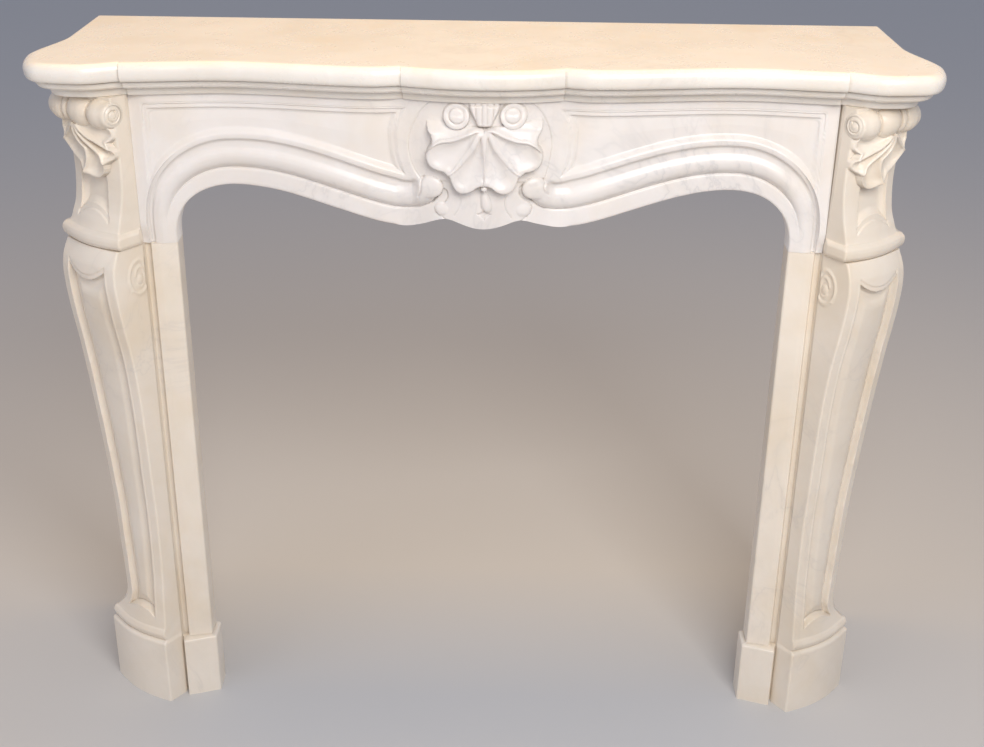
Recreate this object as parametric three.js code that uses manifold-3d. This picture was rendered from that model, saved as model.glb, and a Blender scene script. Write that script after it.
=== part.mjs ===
// A carved white marble fireplace mantel with a serpentine shelf, an arched frieze with a shell,
// corner blocks, canted console legs, inner jambs and plain side returns.
// Millimetres. X runs along the shelf, Y from the front (-) to the wall (+), Z up from the floor.
// The origin is on the floor, midway across the width and the depth.
import * as THREE from 'three';
import { mergeVertices } from 'three/addons/utils/BufferGeometryUtils.js';
import Module from 'manifold-3d';

// Heights, from the floor up
const legHeight = 804;
const friezeHeight = 224;
const shelfThickness = 52;
const plinthHeight = 118;
const jambPlinthHeight = 110;

// Widths, from the middle outwards
const openingWidth = 892;
const jambWidth = 49;
const legInset = 21;
const returnInset = 81;
const sideOverhang = 38;
const backOverhang = 9;

// Depth of the shelf, and how far other places stand behind its front
const shelfDepth = 337;
const cornerSetback = 2;
const breakSetback = 20;
const shoulderSetback = 13;
const hollowSetback = 34;
const legSetback = 43;
const slabBackSetback = 116;

// Clearance between neighbouring stones
const joint = 0.3;

// Shelf plan
const bowBreakX = 111;
const shoulderX = 150;
const breakInset = 4;
const bulgeInset = 29;
const earRound = 72;
const flareStart = 105;
const flareLength = 165;

// Shelf edge: overhang over the carved faces below, and its mouldings
const frontOverhang = 38;
const sideOverhangShare = 0.7;
const noseHeight = 27;
const noseBulge = 9;
const edgeFillet = 8;
const faceSetback = 6;

// Opening edge: rises above the legs' joint and places along it
const springRise = 10;
const crownRise = 87;
const crownInset = 89;
const dipRise = 34;
const dipX = 115;
const cuspRise = 49;
const cuspX = 57;
const pendantRise = 35;

// Frieze and jambs
const mouldingLeg = 39;
const mouldingArch = 77;
const mouldingCusp = 62;
const frameMargin = 14;
const panelDepth = 7;
const panelBevel = 11;
const cartoucheX = 102;
const cartoucheDrop = 60;
const jointFade = 33;
const jointSetback = 7;
const jambThickness = 42;
const jambPlinthLip = 8;

// Console legs and corner blocks, canted to the front
const cantAngle = 36.5 * Math.PI / 180;
const plinthFace = 131;
const plinthBow = 11;
const shaftBow = 7;
const sidePanelStrip = 19;
const sidePanelWall = 9;
const sidePanelDepth = 9;
const torusHeight = 26;
const torusReach = 8;
const scrollRadius = 25;
const scrollLength = 118;
const scrollReach = 26;

// Side returns
const returnThickness = 26;
const returnGap = 41;

// Shells
const shellHeight = 92;
const shellDrop = 37;
const shellThickness = 24;
const cornerShellHeight = 75;
const cornerShellWidth = 0.68;
const cornerShellThickness = 17;

const marble = { color: 0xf0e9dc, roughness: 0.35, metalness: 0 };
const underShelf = legHeight + friezeHeight;
const totalHeight = underShelf + shelfThickness;
const halfOpening = openingWidth / 2;
const friezeHalfWidth = halfOpening + jambWidth;
const crownX = halfOpening - crownInset;
const cornerX = friezeHalfWidth + legInset;
const returnOuterX = cornerX + returnInset;
const shelfHalfWidth = returnOuterX + sideOverhang;
const cornerReach = shelfDepth - cornerSetback;
const breakReach = shelfDepth - breakSetback;
const slabBackReach = shelfDepth - slabBackSetback;
const returnReach = slabBackReach - returnGap;
const blockFoot = legHeight + joint;
const wasm = await Module();
wasm.setup();

// Small numeric tools
const clamp01 = (t) => Math.min(1, Math.max(0, t));
const smooth = (t) => clamp01(t) ** 2 * (3 - 2 * clamp01(t));
const mix = (a, b, t) => a + (b - a) * t;
const fromWall = (reach) => shelfDepth / 2 - reach;

// Smooth value along a list of [place, value] pairs, level at each pair
function wave(pairs, x, ease = smooth) {
  const last = pairs.length - 1;
  if (x <= pairs[0][0]) return pairs[0][1];
  for (let i = 0; i < last; i += 1) {
    const [x0, v0] = pairs[i];
    const [x1, v1] = pairs[i + 1];
    if (x <= x1) return mix(v0, v1, ease((x - x0) / (x1 - x0)));
  }
  return pairs[last][1];
}

// Straight runs between [place, value] pairs
const ramp = (pairs, x) => wave(pairs, x, clamp01);

// Evenly spread values from one end to the other, both included
const spread = (from, to, steps) => Array.from({ length: steps + 1 }, (_, i) => mix(from, to, i / steps));

// Builds an indexed geometry from points and triangles, faces turned outwards
function solid(points, triangles) {
  let volume = 0;
  for (const [a, b, c] of triangles) {
    volume += points[a].dot(points[b].clone().cross(points[c]));
  }
  const faces = volume > 0 ? triangles : triangles.map(([a, b, c]) => [a, c, b]);
  const geometry = new THREE.BufferGeometry();
  const coordinates = points.flatMap((p) => [p.x, p.y, p.z]);
  geometry.setAttribute('position', new THREE.Float32BufferAttribute(coordinates, 3));
  geometry.setIndex(faces.flat());
  return geometry;
}

// Skin between equal rings of points, closed by flat caps seen along the given axis
function loft(rings, axis) {
  const count = rings[0].length;
  const points = rings.flat();
  const triangles = [];
  for (let k = 0; k + 1 < rings.length; k += 1) {
    for (let i = 0; i < count; i += 1) {
      const a = k * count + i;
      const b = k * count + (i + 1) % count;
      triangles.push([a, b, b + count], [a, b + count, a + count]);
    }
  }
  const flat = { z: (p) => new THREE.Vector2(p.x, p.y), x: (p) => new THREE.Vector2(p.y, p.z) }[axis];
  const offset = (rings.length - 1) * count;
  for (const [start, ring] of [[0, rings[0]], [offset, rings[rings.length - 1]]]) {
    const outline = ring.map(flat);
    const cap = THREE.ShapeUtils.triangulateShape(outline, []);
    const turn = (start === 0) === THREE.ShapeUtils.area(outline) > 0;
    for (const [a, b, c] of cap) {
      triangles.push(turn ? [start + a, start + c, start + b] : [start + a, start + b, start + c]);
    }
  }
  return solid(points, triangles);
}

// Mirrors a geometry to the other side of the mantel
function mirrored(geometry) {
  const copy = geometry.clone();
  copy.scale(-1, 1, 1);
  const index = Array.from(copy.index.array);
  for (let i = 0; i < index.length; i += 3) [index[i + 1], index[i + 2]] = [index[i + 2], index[i + 1]];
  copy.setIndex(index);
  return copy;
}

function toManifold(geometry) {
  const plain = geometry.clone();
  plain.deleteAttribute('normal');
  plain.deleteAttribute('uv');
  const merged = mergeVertices(plain, 1e-4);
  return new wasm.Manifold(new wasm.Mesh({
    numProp: 3,
    vertProperties: new Float32Array(merged.attributes.position.array),
    triVerts: new Uint32Array(merged.index.array),
  }));
}

function fromManifold(body) {
  const mesh = body.getMesh();
  const geometry = new THREE.BufferGeometry();
  geometry.setAttribute('position', new THREE.BufferAttribute(new Float32Array(mesh.vertProperties), 3));
  geometry.setIndex(new THREE.BufferAttribute(new Uint32Array(mesh.triVerts), 1));
  return geometry;
}

// Welds points closer than the given distance and drops the faces that this closes up
function welded(geometry, distance = 0.02) {
  const position = geometry.attributes.position;
  const points = [];
  const target = [];
  for (let i = 0; i < position.count; i += 1) {
    const point = new THREE.Vector3().fromBufferAttribute(position, i);
    const near = points.findIndex((other) => other.distanceTo(point) < distance);
    target.push(near < 0 ? points.length : near);
    if (near < 0) points.push(point);
  }
  const triangles = [];
  const index = geometry.index.array;
  for (let i = 0; i < index.length; i += 3) {
    const [a, b, c] = [target[index[i]], target[index[i + 1]], target[index[i + 2]]];
    if (a !== b && b !== c && c !== a) triangles.push([a, b, c]);
  }
  return solid(points, triangles);
}

function joined(geometries) {
  return welded(fromManifold(geometries.map(toManifold).reduce((a, b) => a.add(b))));
}

// Shelf front line: how far the nose reaches from the wall at each place along the shelf
const cornerBreakX = friezeHalfWidth - breakInset;
const cornerBulgeX = cornerX + bulgeInset;

function noseReach(x) {
  const along = Math.abs(x);
  if (along < bowBreakX) return mix(shelfDepth, breakReach + 1, (along / bowBreakX) ** 2);
  if (along < cornerBreakX) {
    return wave([
      [bowBreakX - 22, breakReach - 5], [shoulderX, shelfDepth - shoulderSetback],
      [crownX, shelfDepth - hollowSetback], [cornerBreakX + 16, breakReach + 2],
    ], along);
  }
  return wave([
    [cornerBreakX - 25, breakReach - 9], [cornerBulgeX, cornerReach],
    [shelfHalfWidth - 18, cornerReach - 26],
  ], along);
}

function shelfOutline(offset) {
  const side = shelfHalfWidth - sideOverhangShare * offset;
  const back = returnOuterX + backOverhang - sideOverhangShare * offset;
  const sideAt = (reach) => mix(back, side, smooth((reach - flareStart) / flareLength));
  const earX = shelfHalfWidth - earRound / 2;
  const earStart = [earX - 0.85 * offset, noseReach(earX) - offset];
  const earReach = flareStart + flareLength - 0.4 * offset;
  const earEnd = [sideAt(earReach), earReach];
  const earTip = [side - 2, earStart[1] - 0.16 * earRound];
  const mitre = 0.6;
  const half = [
    ...spread(0, bowBreakX - mitre, 4),
    ...spread(bowBreakX + mitre, cornerBreakX - mitre, 9),
    ...spread(cornerBreakX + mitre, earStart[0] - 3, 4),
  ].map((place) => [place, noseReach(place) - offset]);
  for (const t of spread(0, 1, 5)) {
    const [a, b, c] = [(1 - t) ** 2, 2 * t * (1 - t), t ** 2];
    half.push([0, 1].map((k) => a * earStart[k] + b * earTip[k] + c * earEnd[k]));
  }
  for (const share of spread(0.75, 0, 4)) {
    const reach = flareStart + share * flareLength;
    half.push([sideAt(reach), reach]);
  }
  half.push([back, 0]);
  const right = half.map(([x, reach]) => new THREE.Vector2(x, fromWall(reach)));
  const left = half.slice(1).reverse().map(([x, reach]) => new THREE.Vector2(-x, fromWall(reach)));
  return [...right, ...left];
}

function shelf() {
  const noseLow = totalHeight - noseHeight;
  const noseMiddle = totalHeight - noseHeight / 2;
  const profile = [
    [frontOverhang, underShelf],
    [frontOverhang - 2, underShelf + 7],
    [frontOverhang - 8, underShelf + 8],
    [noseBulge + 12, noseLow - edgeFillet - 4],
    [noseBulge + 6, noseLow - edgeFillet],
    [noseBulge + 5, noseLow],
    [noseBulge - 3, noseLow + 0.5],
    [noseBulge * 0.22, noseLow + 5.5],
    [0, noseMiddle],
    [noseBulge * 0.2, totalHeight - 5],
    [noseBulge * 0.75, totalHeight],
  ];
  const rings = profile.map(([offset, z]) => shelfOutline(offset).map((p) => new THREE.Vector3(p.x, p.y, z)));
  return loft(rings, 'z');
}

// Canted legs: a place across the face, a reach along the cant and a height
const acrossFace = new THREE.Vector2(-Math.cos(cantAngle), Math.sin(cantAngle));
const outward = new THREE.Vector2(-Math.sin(cantAngle), -Math.cos(cantAngle));
const corner = new THREE.Vector2(-cornerX, fromWall(shelfDepth - legSetback));

function canted(place, reach, z) {
  return new THREE.Vector3(
    corner.x + acrossFace.x * place + outward.x * reach,
    corner.y + acrossFace.y * place + outward.y * reach,
    z,
  );
}

// One level of a leg or block: the bowed face with its sunk panel, then the plain back of the stone
function legRing(shape, level) {
  const { z, panel = 0, lift = () => 0 } = level;
  const face = shape.face(z);
  const inner = shape.inner(z);
  const wallEnd = sidePanelStrip + sidePanelWall;
  const strip = [0.5 * sidePanelStrip, sidePanelStrip];
  const places = [
    -inner, ...strip, ...spread(wallEnd, face - wallEnd, 4), ...strip.reverse().map((p) => face - p), face,
  ];
  const sunk = [0, 0, 0, 1, 0.9, 0.85, 0.9, 1, 0, 0, 0];
  const ring = places.map((place, i) => {
    const height = z + lift(place / face);
    const width = shape.face(height);
    const across = i === 0 ? -shape.inner(height) : place * width / face;
    const bow = shape.bow(height) * Math.sin(Math.PI * clamp01((across + inner) / (width + inner)));
    return canted(across, shape.reach(height) + bow - panel * sunk[i] * sidePanelDepth, height);
  });
  const jointX = -(friezeHalfWidth + joint);
  const innerRun = (jointX + cornerX - inner * Math.cos(cantAngle)) / Math.sin(cantAngle);
  ring.push(
    new THREE.Vector3(-returnOuterX, fromWall(returnReach + joint), z),
    new THREE.Vector3(-(returnOuterX - returnThickness), fromWall(returnReach + joint), z),
    new THREE.Vector3(jointX, fromWall(slabBackReach - 16), z),
    new THREE.Vector3(jointX, canted(-inner, -innerRun, 0).y, z),
  );
  return ring;
}

// Arched end of a sunk panel: rises by the given height at mid face
const archLift = (rise) => (share) => rise * Math.max(0, 1 - ((share - 0.5) / 0.36) ** 2);

// Hanging end of a sunk panel: the sides rise by the given height
const sagLift = (rise) => (share) => rise * Math.min(1, ((share - 0.5) / 0.36) ** 2);

// Console leg: plinth, base mouldings, then an S-shaped shaft set out by shares of its height
function consoleLeg() {
  const base = plinthHeight;
  const shaft = (share) => mix(plinthHeight, legHeight, share);
  const shape = {
    reach: (z) => ramp([
      [base - 3, 2], [base, 0], [base + 2, -4], [base + 6, -1], [base + 13, 1], [base + 21, -1],
      [base + 25, -3], [base + 42, -4], [shaft(0.11), -5.5], [shaft(0.19), -8.5],
      [shaft(0.32), -9.5], [shaft(0.44), -7], [shaft(0.6), -3.5], [shaft(0.67), 0],
      [shaft(0.73), 5], [shaft(0.775), 12], [shaft(0.81), 16], [shaft(0.86), 18.5],
      [shaft(0.9), 20.5], [shaft(0.93), 22], [shaft(0.96), 20.5], [legHeight - 16, 15], [legHeight, 6],
    ], z),
    face: (z) => ramp([
      [base - 3, plinthFace], [base, plinthFace - 2], [base + 2, plinthFace - 10], [base + 6, plinthFace - 5],
      [base + 13, plinthFace - 3], [base + 21, plinthFace - 5], [base + 26, plinthFace - 12],
      [base + 37, 108], [base + 52, 97], [base + 72, 92], [shaft(0.17), 97], [shaft(0.27), 102],
      [shaft(0.41), 107], [shaft(0.515), 113], [shaft(0.64), 121], [shaft(0.745), 124], [shaft(0.85), 122],
      [shaft(0.925), 118], [shaft(0.953), 115], [legHeight, 108],
    ], z),
    inner: (z) => ramp([[base - 3, 2], [base + 2, 0]], z),
    bow: (z) => ramp([[base + 26, plinthBow], [base + 60, shaftBow]], z),
  };
  const levels = [
    ...[0, base - 3, base, base + 2, base + 6, base + 13, base + 21, base + 26].map((z) => ({ z })),
    { z: base + 34, lift: archLift(6) }, { z: base + 40, lift: archLift(15) },
    { z: base + 48, panel: 1, lift: archLift(15) }, { z: base + 72, panel: 1, lift: archLift(6) },
    ...[0.18, 0.32, 0.46, 0.6, 0.67, 0.73, 0.775].map((share) => ({ z: shaft(share), panel: 1 })),
    { z: shaft(0.82), panel: 1, lift: sagLift(3) }, { z: shaft(0.87), panel: 1, lift: sagLift(9) },
    { z: shaft(0.915), panel: 1, lift: sagLift(20) }, { z: shaft(0.93), lift: sagLift(20) },
    { z: legHeight - 23 }, { z: legHeight - 14 }, { z: legHeight - 6 }, { z: legHeight },
  ];
  return loft(levels.map((level) => legRing(shape, level)), 'z');
}

// Corner block: torus, waisted face with a sunk panel, scroll row and a shell under it
const neck = (share) => mix(blockFoot + torusHeight, underShelf - joint, share);
const blockShape = {
  reach: (z) => ramp([
    [blockFoot, 5], [blockFoot + 4, 10], [blockFoot + 9, 12.5], [blockFoot + 14, 13], [blockFoot + 19, 12.5],
    [blockFoot + 24, 9], [neck(0), 6], [neck(0.08), 2.5], [neck(0.15), -1], [neck(0.25), -3.5],
    [neck(0.39), -5], [neck(0.62), -4], [neck(0.73), -2], [neck(1), 2],
  ], z),
  face: (z) => ramp([
    [blockFoot, 113], [blockFoot + 4, 118], [blockFoot + 14, 121], [blockFoot + 24, 117],
    [neck(0), 110], [neck(0.08), 104], [neck(0.2), 100], [neck(0.46), 98], [neck(0.6), 101],
    [neck(0.73), 105], [neck(0.86), 108],
  ], z),
  inner: (z) => torusReach * ramp([
    [blockFoot, 0.1], [blockFoot + 4, 0.75], [blockFoot + 9, 1], [blockFoot + 19, 1],
    [blockFoot + 24, 0.6], [neck(0), 0],
  ], z),
  bow: (z) => ramp([[blockFoot + 14, plinthBow], [neck(0.1), shaftBow]], z),
};

function scrollRow() {
  const middle = blockShape.face(underShelf) / 2;
  const axis = underShelf - scrollRadius;
  const half = scrollLength / 2;
  const depth = scrollReach / scrollRadius;
  const radius = (place) => {
    const along = Math.abs(place);
    if (along < 20) return scrollRadius - 0.6 - 4 * (along / 20) ** 2;
    return scrollRadius * ramp([
      [20, 0.68], [22, 0.78], [28, 0.8], [30, 0.64], [37, 0.54], [44, 0.64], [46, 0.74], [half, 0.64],
    ], along);
  };
  const places = [0, 11, 19.9, 20.2, 22, 28, 30, 37, 44, 46, half];
  const rings = [...places.slice(1).reverse().map((place) => -place), ...places].map((place) => {
    const r = radius(place);
    const top = underShelf - 2 * joint;
    const outline = [[-12, top], [r * depth, top]];
    for (const turn of spread(0, Math.PI / 2, 5)) {
      outline.push([r * depth * Math.cos(turn), axis - r * Math.sin(turn)]);
    }
    outline.push([-12, axis - r]);
    return outline.map(([reach, z]) => canted(middle + place, reach, z));
  });
  return loft(rings, 'x');
}

// A fluted shell of six lobes hanging from its hinge, laid on a face by the given placing function
function shellFan(height, thickness, place) {
  const lobes = [
    { from: 0, to: 34, notch: [0.86, 0.9], tip: 1.06 },
    { from: 34, to: 75, notch: [0.9, 0.84], tip: 1.0 },
    { from: 75, to: 96, notch: [0.84, 0.8], tip: 0.9 },
  ];
  const side = lobes.flatMap((lobe) => [0, 0.1, 0.35, 0.65, 0.9].map((f) => {
    const swell = lobe.tip - mix(...lobe.notch, 0.5);
    return {
      angle: mix(lobe.from, lobe.to, f) * Math.PI / 180,
      radius: height * (mix(...lobe.notch, f) + swell * Math.sin(Math.PI * f) ** 0.8),
      ridge: Math.abs(2 * f - 1) ** 2,
    };
  }));
  const spokes = [...side.slice(1).reverse().map((s) => ({ ...s, angle: -s.angle })), ...side];
  const rings = spokes.map(({ angle, radius, ridge }) => {
    const outline = [0.1, 0.4, 0.8, 1].map((share) => {
      const hollow = 0.42 * (1 - ridge) * Math.sin(Math.PI * Math.min(1, share * 0.9));
      return [share * radius, thickness * (0.55 + 0.45 * share ** 2 - hollow)];
    });
    outline.push([radius, -4], [0.1 * radius, -4]);
    return outline.map(([r, rise]) => place(r * Math.sin(angle), -r * Math.cos(angle), rise));
  });
  return loft(rings, 'z');
}

// A round boss such as a pearl, a knob or a volute eye, turned to face along the given direction
function boss(points, position, facing, segments = 10) {
  const profile = points.map(([radius, height]) => new THREE.Vector2(radius, height));
  const geometry = new THREE.LatheGeometry(profile, segments);
  const lathed = new THREE.Vector3(0, 1, 0);
  geometry.applyQuaternion(new THREE.Quaternion().setFromUnitVectors(lathed, facing.clone().normalize()));
  geometry.translate(position.x, position.y, position.z);
  return geometry;
}

function cornerBlock() {
  const levels = [
    ...[0, 4, 9, 14, 19, 24, torusHeight].map((rise) => ({ z: blockFoot + rise })),
    { z: neck(0.05), lift: archLift(6) }, { z: neck(0.09), lift: archLift(20) },
    { z: neck(0.13), panel: 1, lift: archLift(20) }, { z: neck(0.28), panel: 1, lift: archLift(6) },
    { z: neck(0.43), panel: 1 }, { z: neck(0.56), panel: 1 }, { z: neck(0.61) }, { z: neck(0.73) },
    { z: neck(0.86) }, { z: neck(1) },
  ];
  const body = loft(levels.map((level) => legRing(blockShape, level)), 'z');
  const hinge = underShelf - scrollRadius - 18;
  const middle = blockShape.face(underShelf) / 2;
  const leafAt = middle - 4;
  const leaf = shellFan(cornerShellHeight, cornerShellThickness, (x, z, rise) => {
    const height = hinge + z;
    const bow = shaftBow * (1 - clamp01(Math.abs(x) / 60) ** 2);
    return canted(leafAt - x * cornerShellWidth, blockShape.reach(height) + bow + rise - 3, height);
  });
  const origin = canted(0, 0, 0);
  const outwards = canted(0, 1, 0).sub(origin);
  const knob = boss([[0, -6], [12, -6], [12, 6], [7, 12], [0, 14]], canted(leafAt, 10, hinge), outwards);
  const eyeProfile = [[0, -3], [7, -3], [7, 2], [4, 4], [0, 4.5]];
  const eyes = [-1, 1].map((end) => boss(
    eyeProfile,
    canted(middle + end * scrollLength / 2, 2, underShelf - scrollRadius),
    canted(end, 0, 0).sub(origin),
    8,
  ));
  return joined([body, scrollRow(), leaf, knob, ...eyes]);
}

// Frieze face before any carving, set back towards the joints with the corner blocks
function faceReach(x) {
  const along = Math.min(Math.abs(x), cornerBreakX - 1);
  const fade = smooth((Math.abs(x) - friezeHalfWidth + jointFade) / jointFade);
  return noseReach(along) - frontOverhang - faceSetback - jointSetback * fade;
}

function bezier(points, t) {
  const s = 1 - t;
  const weights = [s ** 3, 3 * s * s * t, 3 * s * t * t, t ** 3];
  return [0, 1].map((k) => weights.reduce((sum, weight, i) => sum + weight * points[i][k], 0));
}

// Left half of the opening edge in runs from the leg's foot to the middle, each with the width of its
// moulding, the share of plain leg in it, and where the panel beyond the moulding ends
function archRuns() {
  const foot = blockFoot;
  const spring = legHeight + springRise;
  const crown = legHeight + crownRise;
  const dip = legHeight + dipRise;
  const cusp = legHeight + cuspRise;
  const tip = legHeight + pendantRise;
  const top = underShelf - joint;
  const side = -friezeHalfWidth;
  const climb = (t) => smooth(t * 1.25) ** 1.15 / smooth(0.625) ** 1.15;
  const straightUp = (t, ridge) => [ridge[0], top];
  const bendLeg = (t, ridge) => {
    if (t <= 0.5) return [side, mix(spring, top, climb(t))];
    return [mix(side, ridge[0], smooth(t - 0.5) / smooth(0.5)), top];
  };
  return [
    {
      steps: 1, lean: 1, leg: () => 1, width: () => mouldingLeg, outer: (t, ridge, z) => [side, z],
      ends: [foot, mix(foot, spring, 1 / 3), mix(foot, spring, 2 / 3), spring].map((z) => [-halfOpening, z]),
    },
    {
      steps: 9, lean: 1, leg: (t) => 1 - smooth(t * 1.4), outer: bendLeg,
      width: (t) => mix(mouldingLeg, mouldingArch, smooth(t ** 0.85)),
      ends: [[-halfOpening, spring], [-halfOpening, spring + 52], [-crownX - 51, crown], [-crownX, crown]],
    },
    {
      steps: 11, lean: 1, leg: () => 0, outer: straightUp,
      width: (t) => mouldingArch + 7 * Math.sin(Math.PI * t * 0.9),
      ends: [[-crownX, crown], [-crownX + 89, crown], [-dipX - 58, dip], [-dipX, dip]],
    },
    {
      steps: 3, lean: 0, leg: () => 0, outer: straightUp,
      width: (t) => mix(mouldingArch + 2, mouldingCusp, t),
      ends: [[-dipX, dip], [-dipX + 20, dip], [-cuspX - 19, cusp], [-cuspX, cusp]],
    },
    {
      steps: 3, lean: 0, leg: () => 0, outer: straightUp, width: (t) => mouldingCusp - 2 * t,
      ends: [[-cuspX, cusp], [-cuspX + 13, cusp], [-26, tip], [0, tip]],
    },
  ];
}

function archStations() {
  return archRuns().flatMap((run, index) => spread(0, 1, run.steps).slice(index === 0 ? 0 : 1).map((t) => {
    const [x, z] = bezier(run.ends, t);
    const [x1, z1] = bezier(run.ends, Math.min(1, t + 1e-3));
    const [x0, z0] = bezier(run.ends, Math.max(0, t - 1e-3));
    const length = Math.hypot(x1 - x0, z1 - z0);
    const width = run.width(t);
    const ridge = [
      x - run.lean * (z1 - z0) / length * width,
      z + mix(1, (x1 - x0) / length, run.lean) * width,
    ];
    const curl = smooth((Math.abs(x) - cuspX - 5) / (cartoucheX - cuspX - 5));
    return { edge: [x, z], ridge, outer: run.outer(t, ridge, z), leg: run.leg(t), curl };
  }));
}

// Depth of the arch moulding below the frieze face, from the opening edge (0) to the outer ridge (1)
const archProfile = [
  [0, -14], [0.04, -12.5], [0.29, -12], [0.34, -14.5], [0.38, -10], [0.46, -4.5], [0.56, -2.2], [0.66, -3.5],
  [0.73, -7], [0.86, -6.5], [0.92, -1], [1, 0],
];
const legProfile = [[0, -14], [0.04, -12.5], [0.5, -11], [0.74, -11.5], [0.79, -15], [0.9, -15], [1, -7]];

// The moulding's relief at one place: plain on the leg, moulded on the arch, melting into the cartouche
function mouldingRelief(share, leg, curl) {
  const melted = share < 0.3 ? ramp(archProfile, share) : mix(-12, 0, smooth((share - 0.3) / 0.5));
  const arch = mix(melted, ramp(archProfile, share), curl);
  return mix(arch, ramp(legProfile, share), leg);
}

// One upright strip of the frieze face: opening edge, moulding, sunk panel and frame
function friezeColumn({ edge, ridge, outer, leg, curl }) {
  const column = archProfile.map(([share]) => {
    const [x, z] = [mix(edge[0], ridge[0], share), mix(edge[1], ridge[1], share)];
    return new THREE.Vector3(x, fromWall(faceReach(x) + mouldingRelief(share, leg, curl)), z);
  });
  const run = Math.hypot(outer[0] - ridge[0], outer[1] - ridge[1]);
  const slant = Math.max(Math.abs(outer[0] - ridge[0]), outer[1] - ridge[1]) / run;
  const frame = Math.min(0.25 * run, frameMargin / slant);
  const bevel = Math.min(0.25 * run, panelBevel);
  const room = smooth((run - 34) / 30);
  const middle = (run - frame) / 2;
  const marks = [[bevel, 1], [middle, 0.85], [run - frame - bevel, 1], [run - frame, 0], [run, 0]];
  for (const [along, sunk] of marks) {
    const [x, z] = [mix(ridge[0], outer[0], along / run), mix(ridge[1], outer[1], along / run)];
    const panelEnd = cartoucheX + 24 - 20 * ((z - underShelf + cartoucheDrop) / 50) ** 2;
    const ending = smooth((Math.abs(x) - panelEnd) / panelBevel);
    column.push(new THREE.Vector3(x, fromWall(faceReach(x) - panelDepth * sunk * room * ending), z));
  }
  return column;
}

function frieze() {
  const half = archStations();
  const flipped = ([x, z]) => [-x, z];
  const mirroredHalf = half.slice(0, -1).reverse().map((s) => ({
    ...s, edge: flipped(s.edge), ridge: flipped(s.ridge), outer: flipped(s.outer),
  }));
  const backY = fromWall(slabBackReach);
  const rings = [...half, ...mirroredHalf].map(friezeColumn).map((column) => {
    const [first, last] = [column[0], column[column.length - 1]];
    return [...column, new THREE.Vector3(last.x, backY, last.z), new THREE.Vector3(first.x, backY, first.z)];
  });
  const slab = loft(rings, 'z');

  const facing = new THREE.Vector3(0, -1, 0);
  const onFace = (x, z, rise) => new THREE.Vector3(x, fromWall(faceReach(x) + rise), z);
  const hinge = underShelf - shellDrop;
  const tip = legHeight + pendantRise;
  const shell = shellFan(shellHeight, shellThickness, (x, z, rise) => onFace(x, hinge + z, rise - 2));
  const volute = [[0, -8], [18, -8], [18, 16], [13, 19], [12, 15], [9, 15], [9, 22], [5, 25], [0, 26]];
  const knob = [[0, -14], [15, -14], [14, 2], [8, 9], [0, 11]];
  const scroll = [[0, -14], [17, -14], [16, -6], [9, 0], [0, 2]];
  const pieces = [slab, shell];
  for (const side of [-1, 1]) {
    pieces.push(boss(volute, onFace(side * 38, hinge + 18, 0), facing, 14));
    pieces.push(boss(knob, onFace(side * 76, tip + 76, -2), facing));
    pieces.push(boss(scroll, onFace(side * 52, tip + 35, -4), facing));
  }
  pieces.push(boss([[0, -8], [20, -8], [17, 12], [9, 24], [0, 27]], onFace(0, hinge + 9, 0), facing));
  const pearlAt = onFace(0, hinge - 0.935 * shellHeight, 0);
  pieces.push(boss([[0, -8], [5, -8], [5, 8], [3, 11], [0, 12]], pearlAt, facing, 8));
  const drop = boss([[0, -8], [8, -8], [7, 0], [3, 4], [0, 5]], new THREE.Vector3(), facing);
  drop.scale(1, 1, 2);
  drop.translate(...onFace(0, tip + 45, 0).toArray());
  pieces.push(drop);
  return joined(pieces);
}

// Inner jamb with its own low plinth, on the left side; its front is set out from the jamb's face
function innerJamb() {
  const face = slabBackReach + jambThickness;
  const outerX = -friezeHalfWidth;
  const innerX = -halfOpening;
  const lipX = innerX + jambPlinthLip;
  const plinth = [
    [outerX, face - 1], [outerX + 3, face + 1], [outerX + 6, face + 16], [outerX + 22, face + 11],
    [innerX - 8, face + 4], [lipX - 2, face], [lipX, face - 2], [lipX, face - 23],
  ];
  const shaft = [
    [outerX, face + 1], [outerX + 2, face - 4], [outerX + 0.2 * jambWidth, face - 4.5],
    [outerX + 0.24 * jambWidth, face], [outerX + 0.45 * jambWidth, face - 1.5], [innerX - 2, face - 7],
    [innerX, face - 9], [innerX, face - 25],
  ];
  const ring = (outline, z, inset) => {
    const front = outline.map(([x, reach], i) => new THREE.Vector3(
      i > 3 ? x - inset : x,
      fromWall(i > 1 ? reach - inset : reach),
      z,
    ));
    const last = front[front.length - 1];
    return [
      ...front,
      new THREE.Vector3(last.x, fromWall(slabBackReach), z),
      new THREE.Vector3(outerX, fromWall(slabBackReach), z),
    ];
  };
  return loft([
    ring(plinth, 0, 0), ring(plinth, jambPlinthHeight - 3, 0), ring(plinth, jambPlinthHeight, 2.5),
    ring(shaft, jambPlinthHeight + 0.5, 0), ring(shaft, legHeight, 0),
  ], 'z');
}

function sideReturn() {
  const height = underShelf - joint;
  const slab = new THREE.BoxGeometry(returnThickness, returnReach, height);
  slab.translate(returnThickness / 2 - returnOuterX, fromWall(returnReach / 2), height / 2);
  return slab;
}

const mantel = new THREE.Group();

function addStone(name, geometry) {
  const stone = new THREE.Mesh(geometry, new THREE.MeshStandardMaterial(marble));
  stone.name = name;
  mantel.add(stone);
}

addStone('shelf', shelf());
addStone('frieze', frieze());
const sidePieces = {
  corner_block: cornerBlock(),
  console_leg: consoleLeg(),
  inner_jamb: innerJamb(),
  side_return: sideReturn(),
};
for (const [name, geometry] of Object.entries(sidePieces)) {
  addStone(`${name}_left`, geometry);
  addStone(`${name}_right`, mirrored(geometry));
}

export default mantel;
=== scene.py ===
"""Looks for the carved marble fireplace mantel: fine carving, marble, floor, light and camera."""

import math

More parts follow.
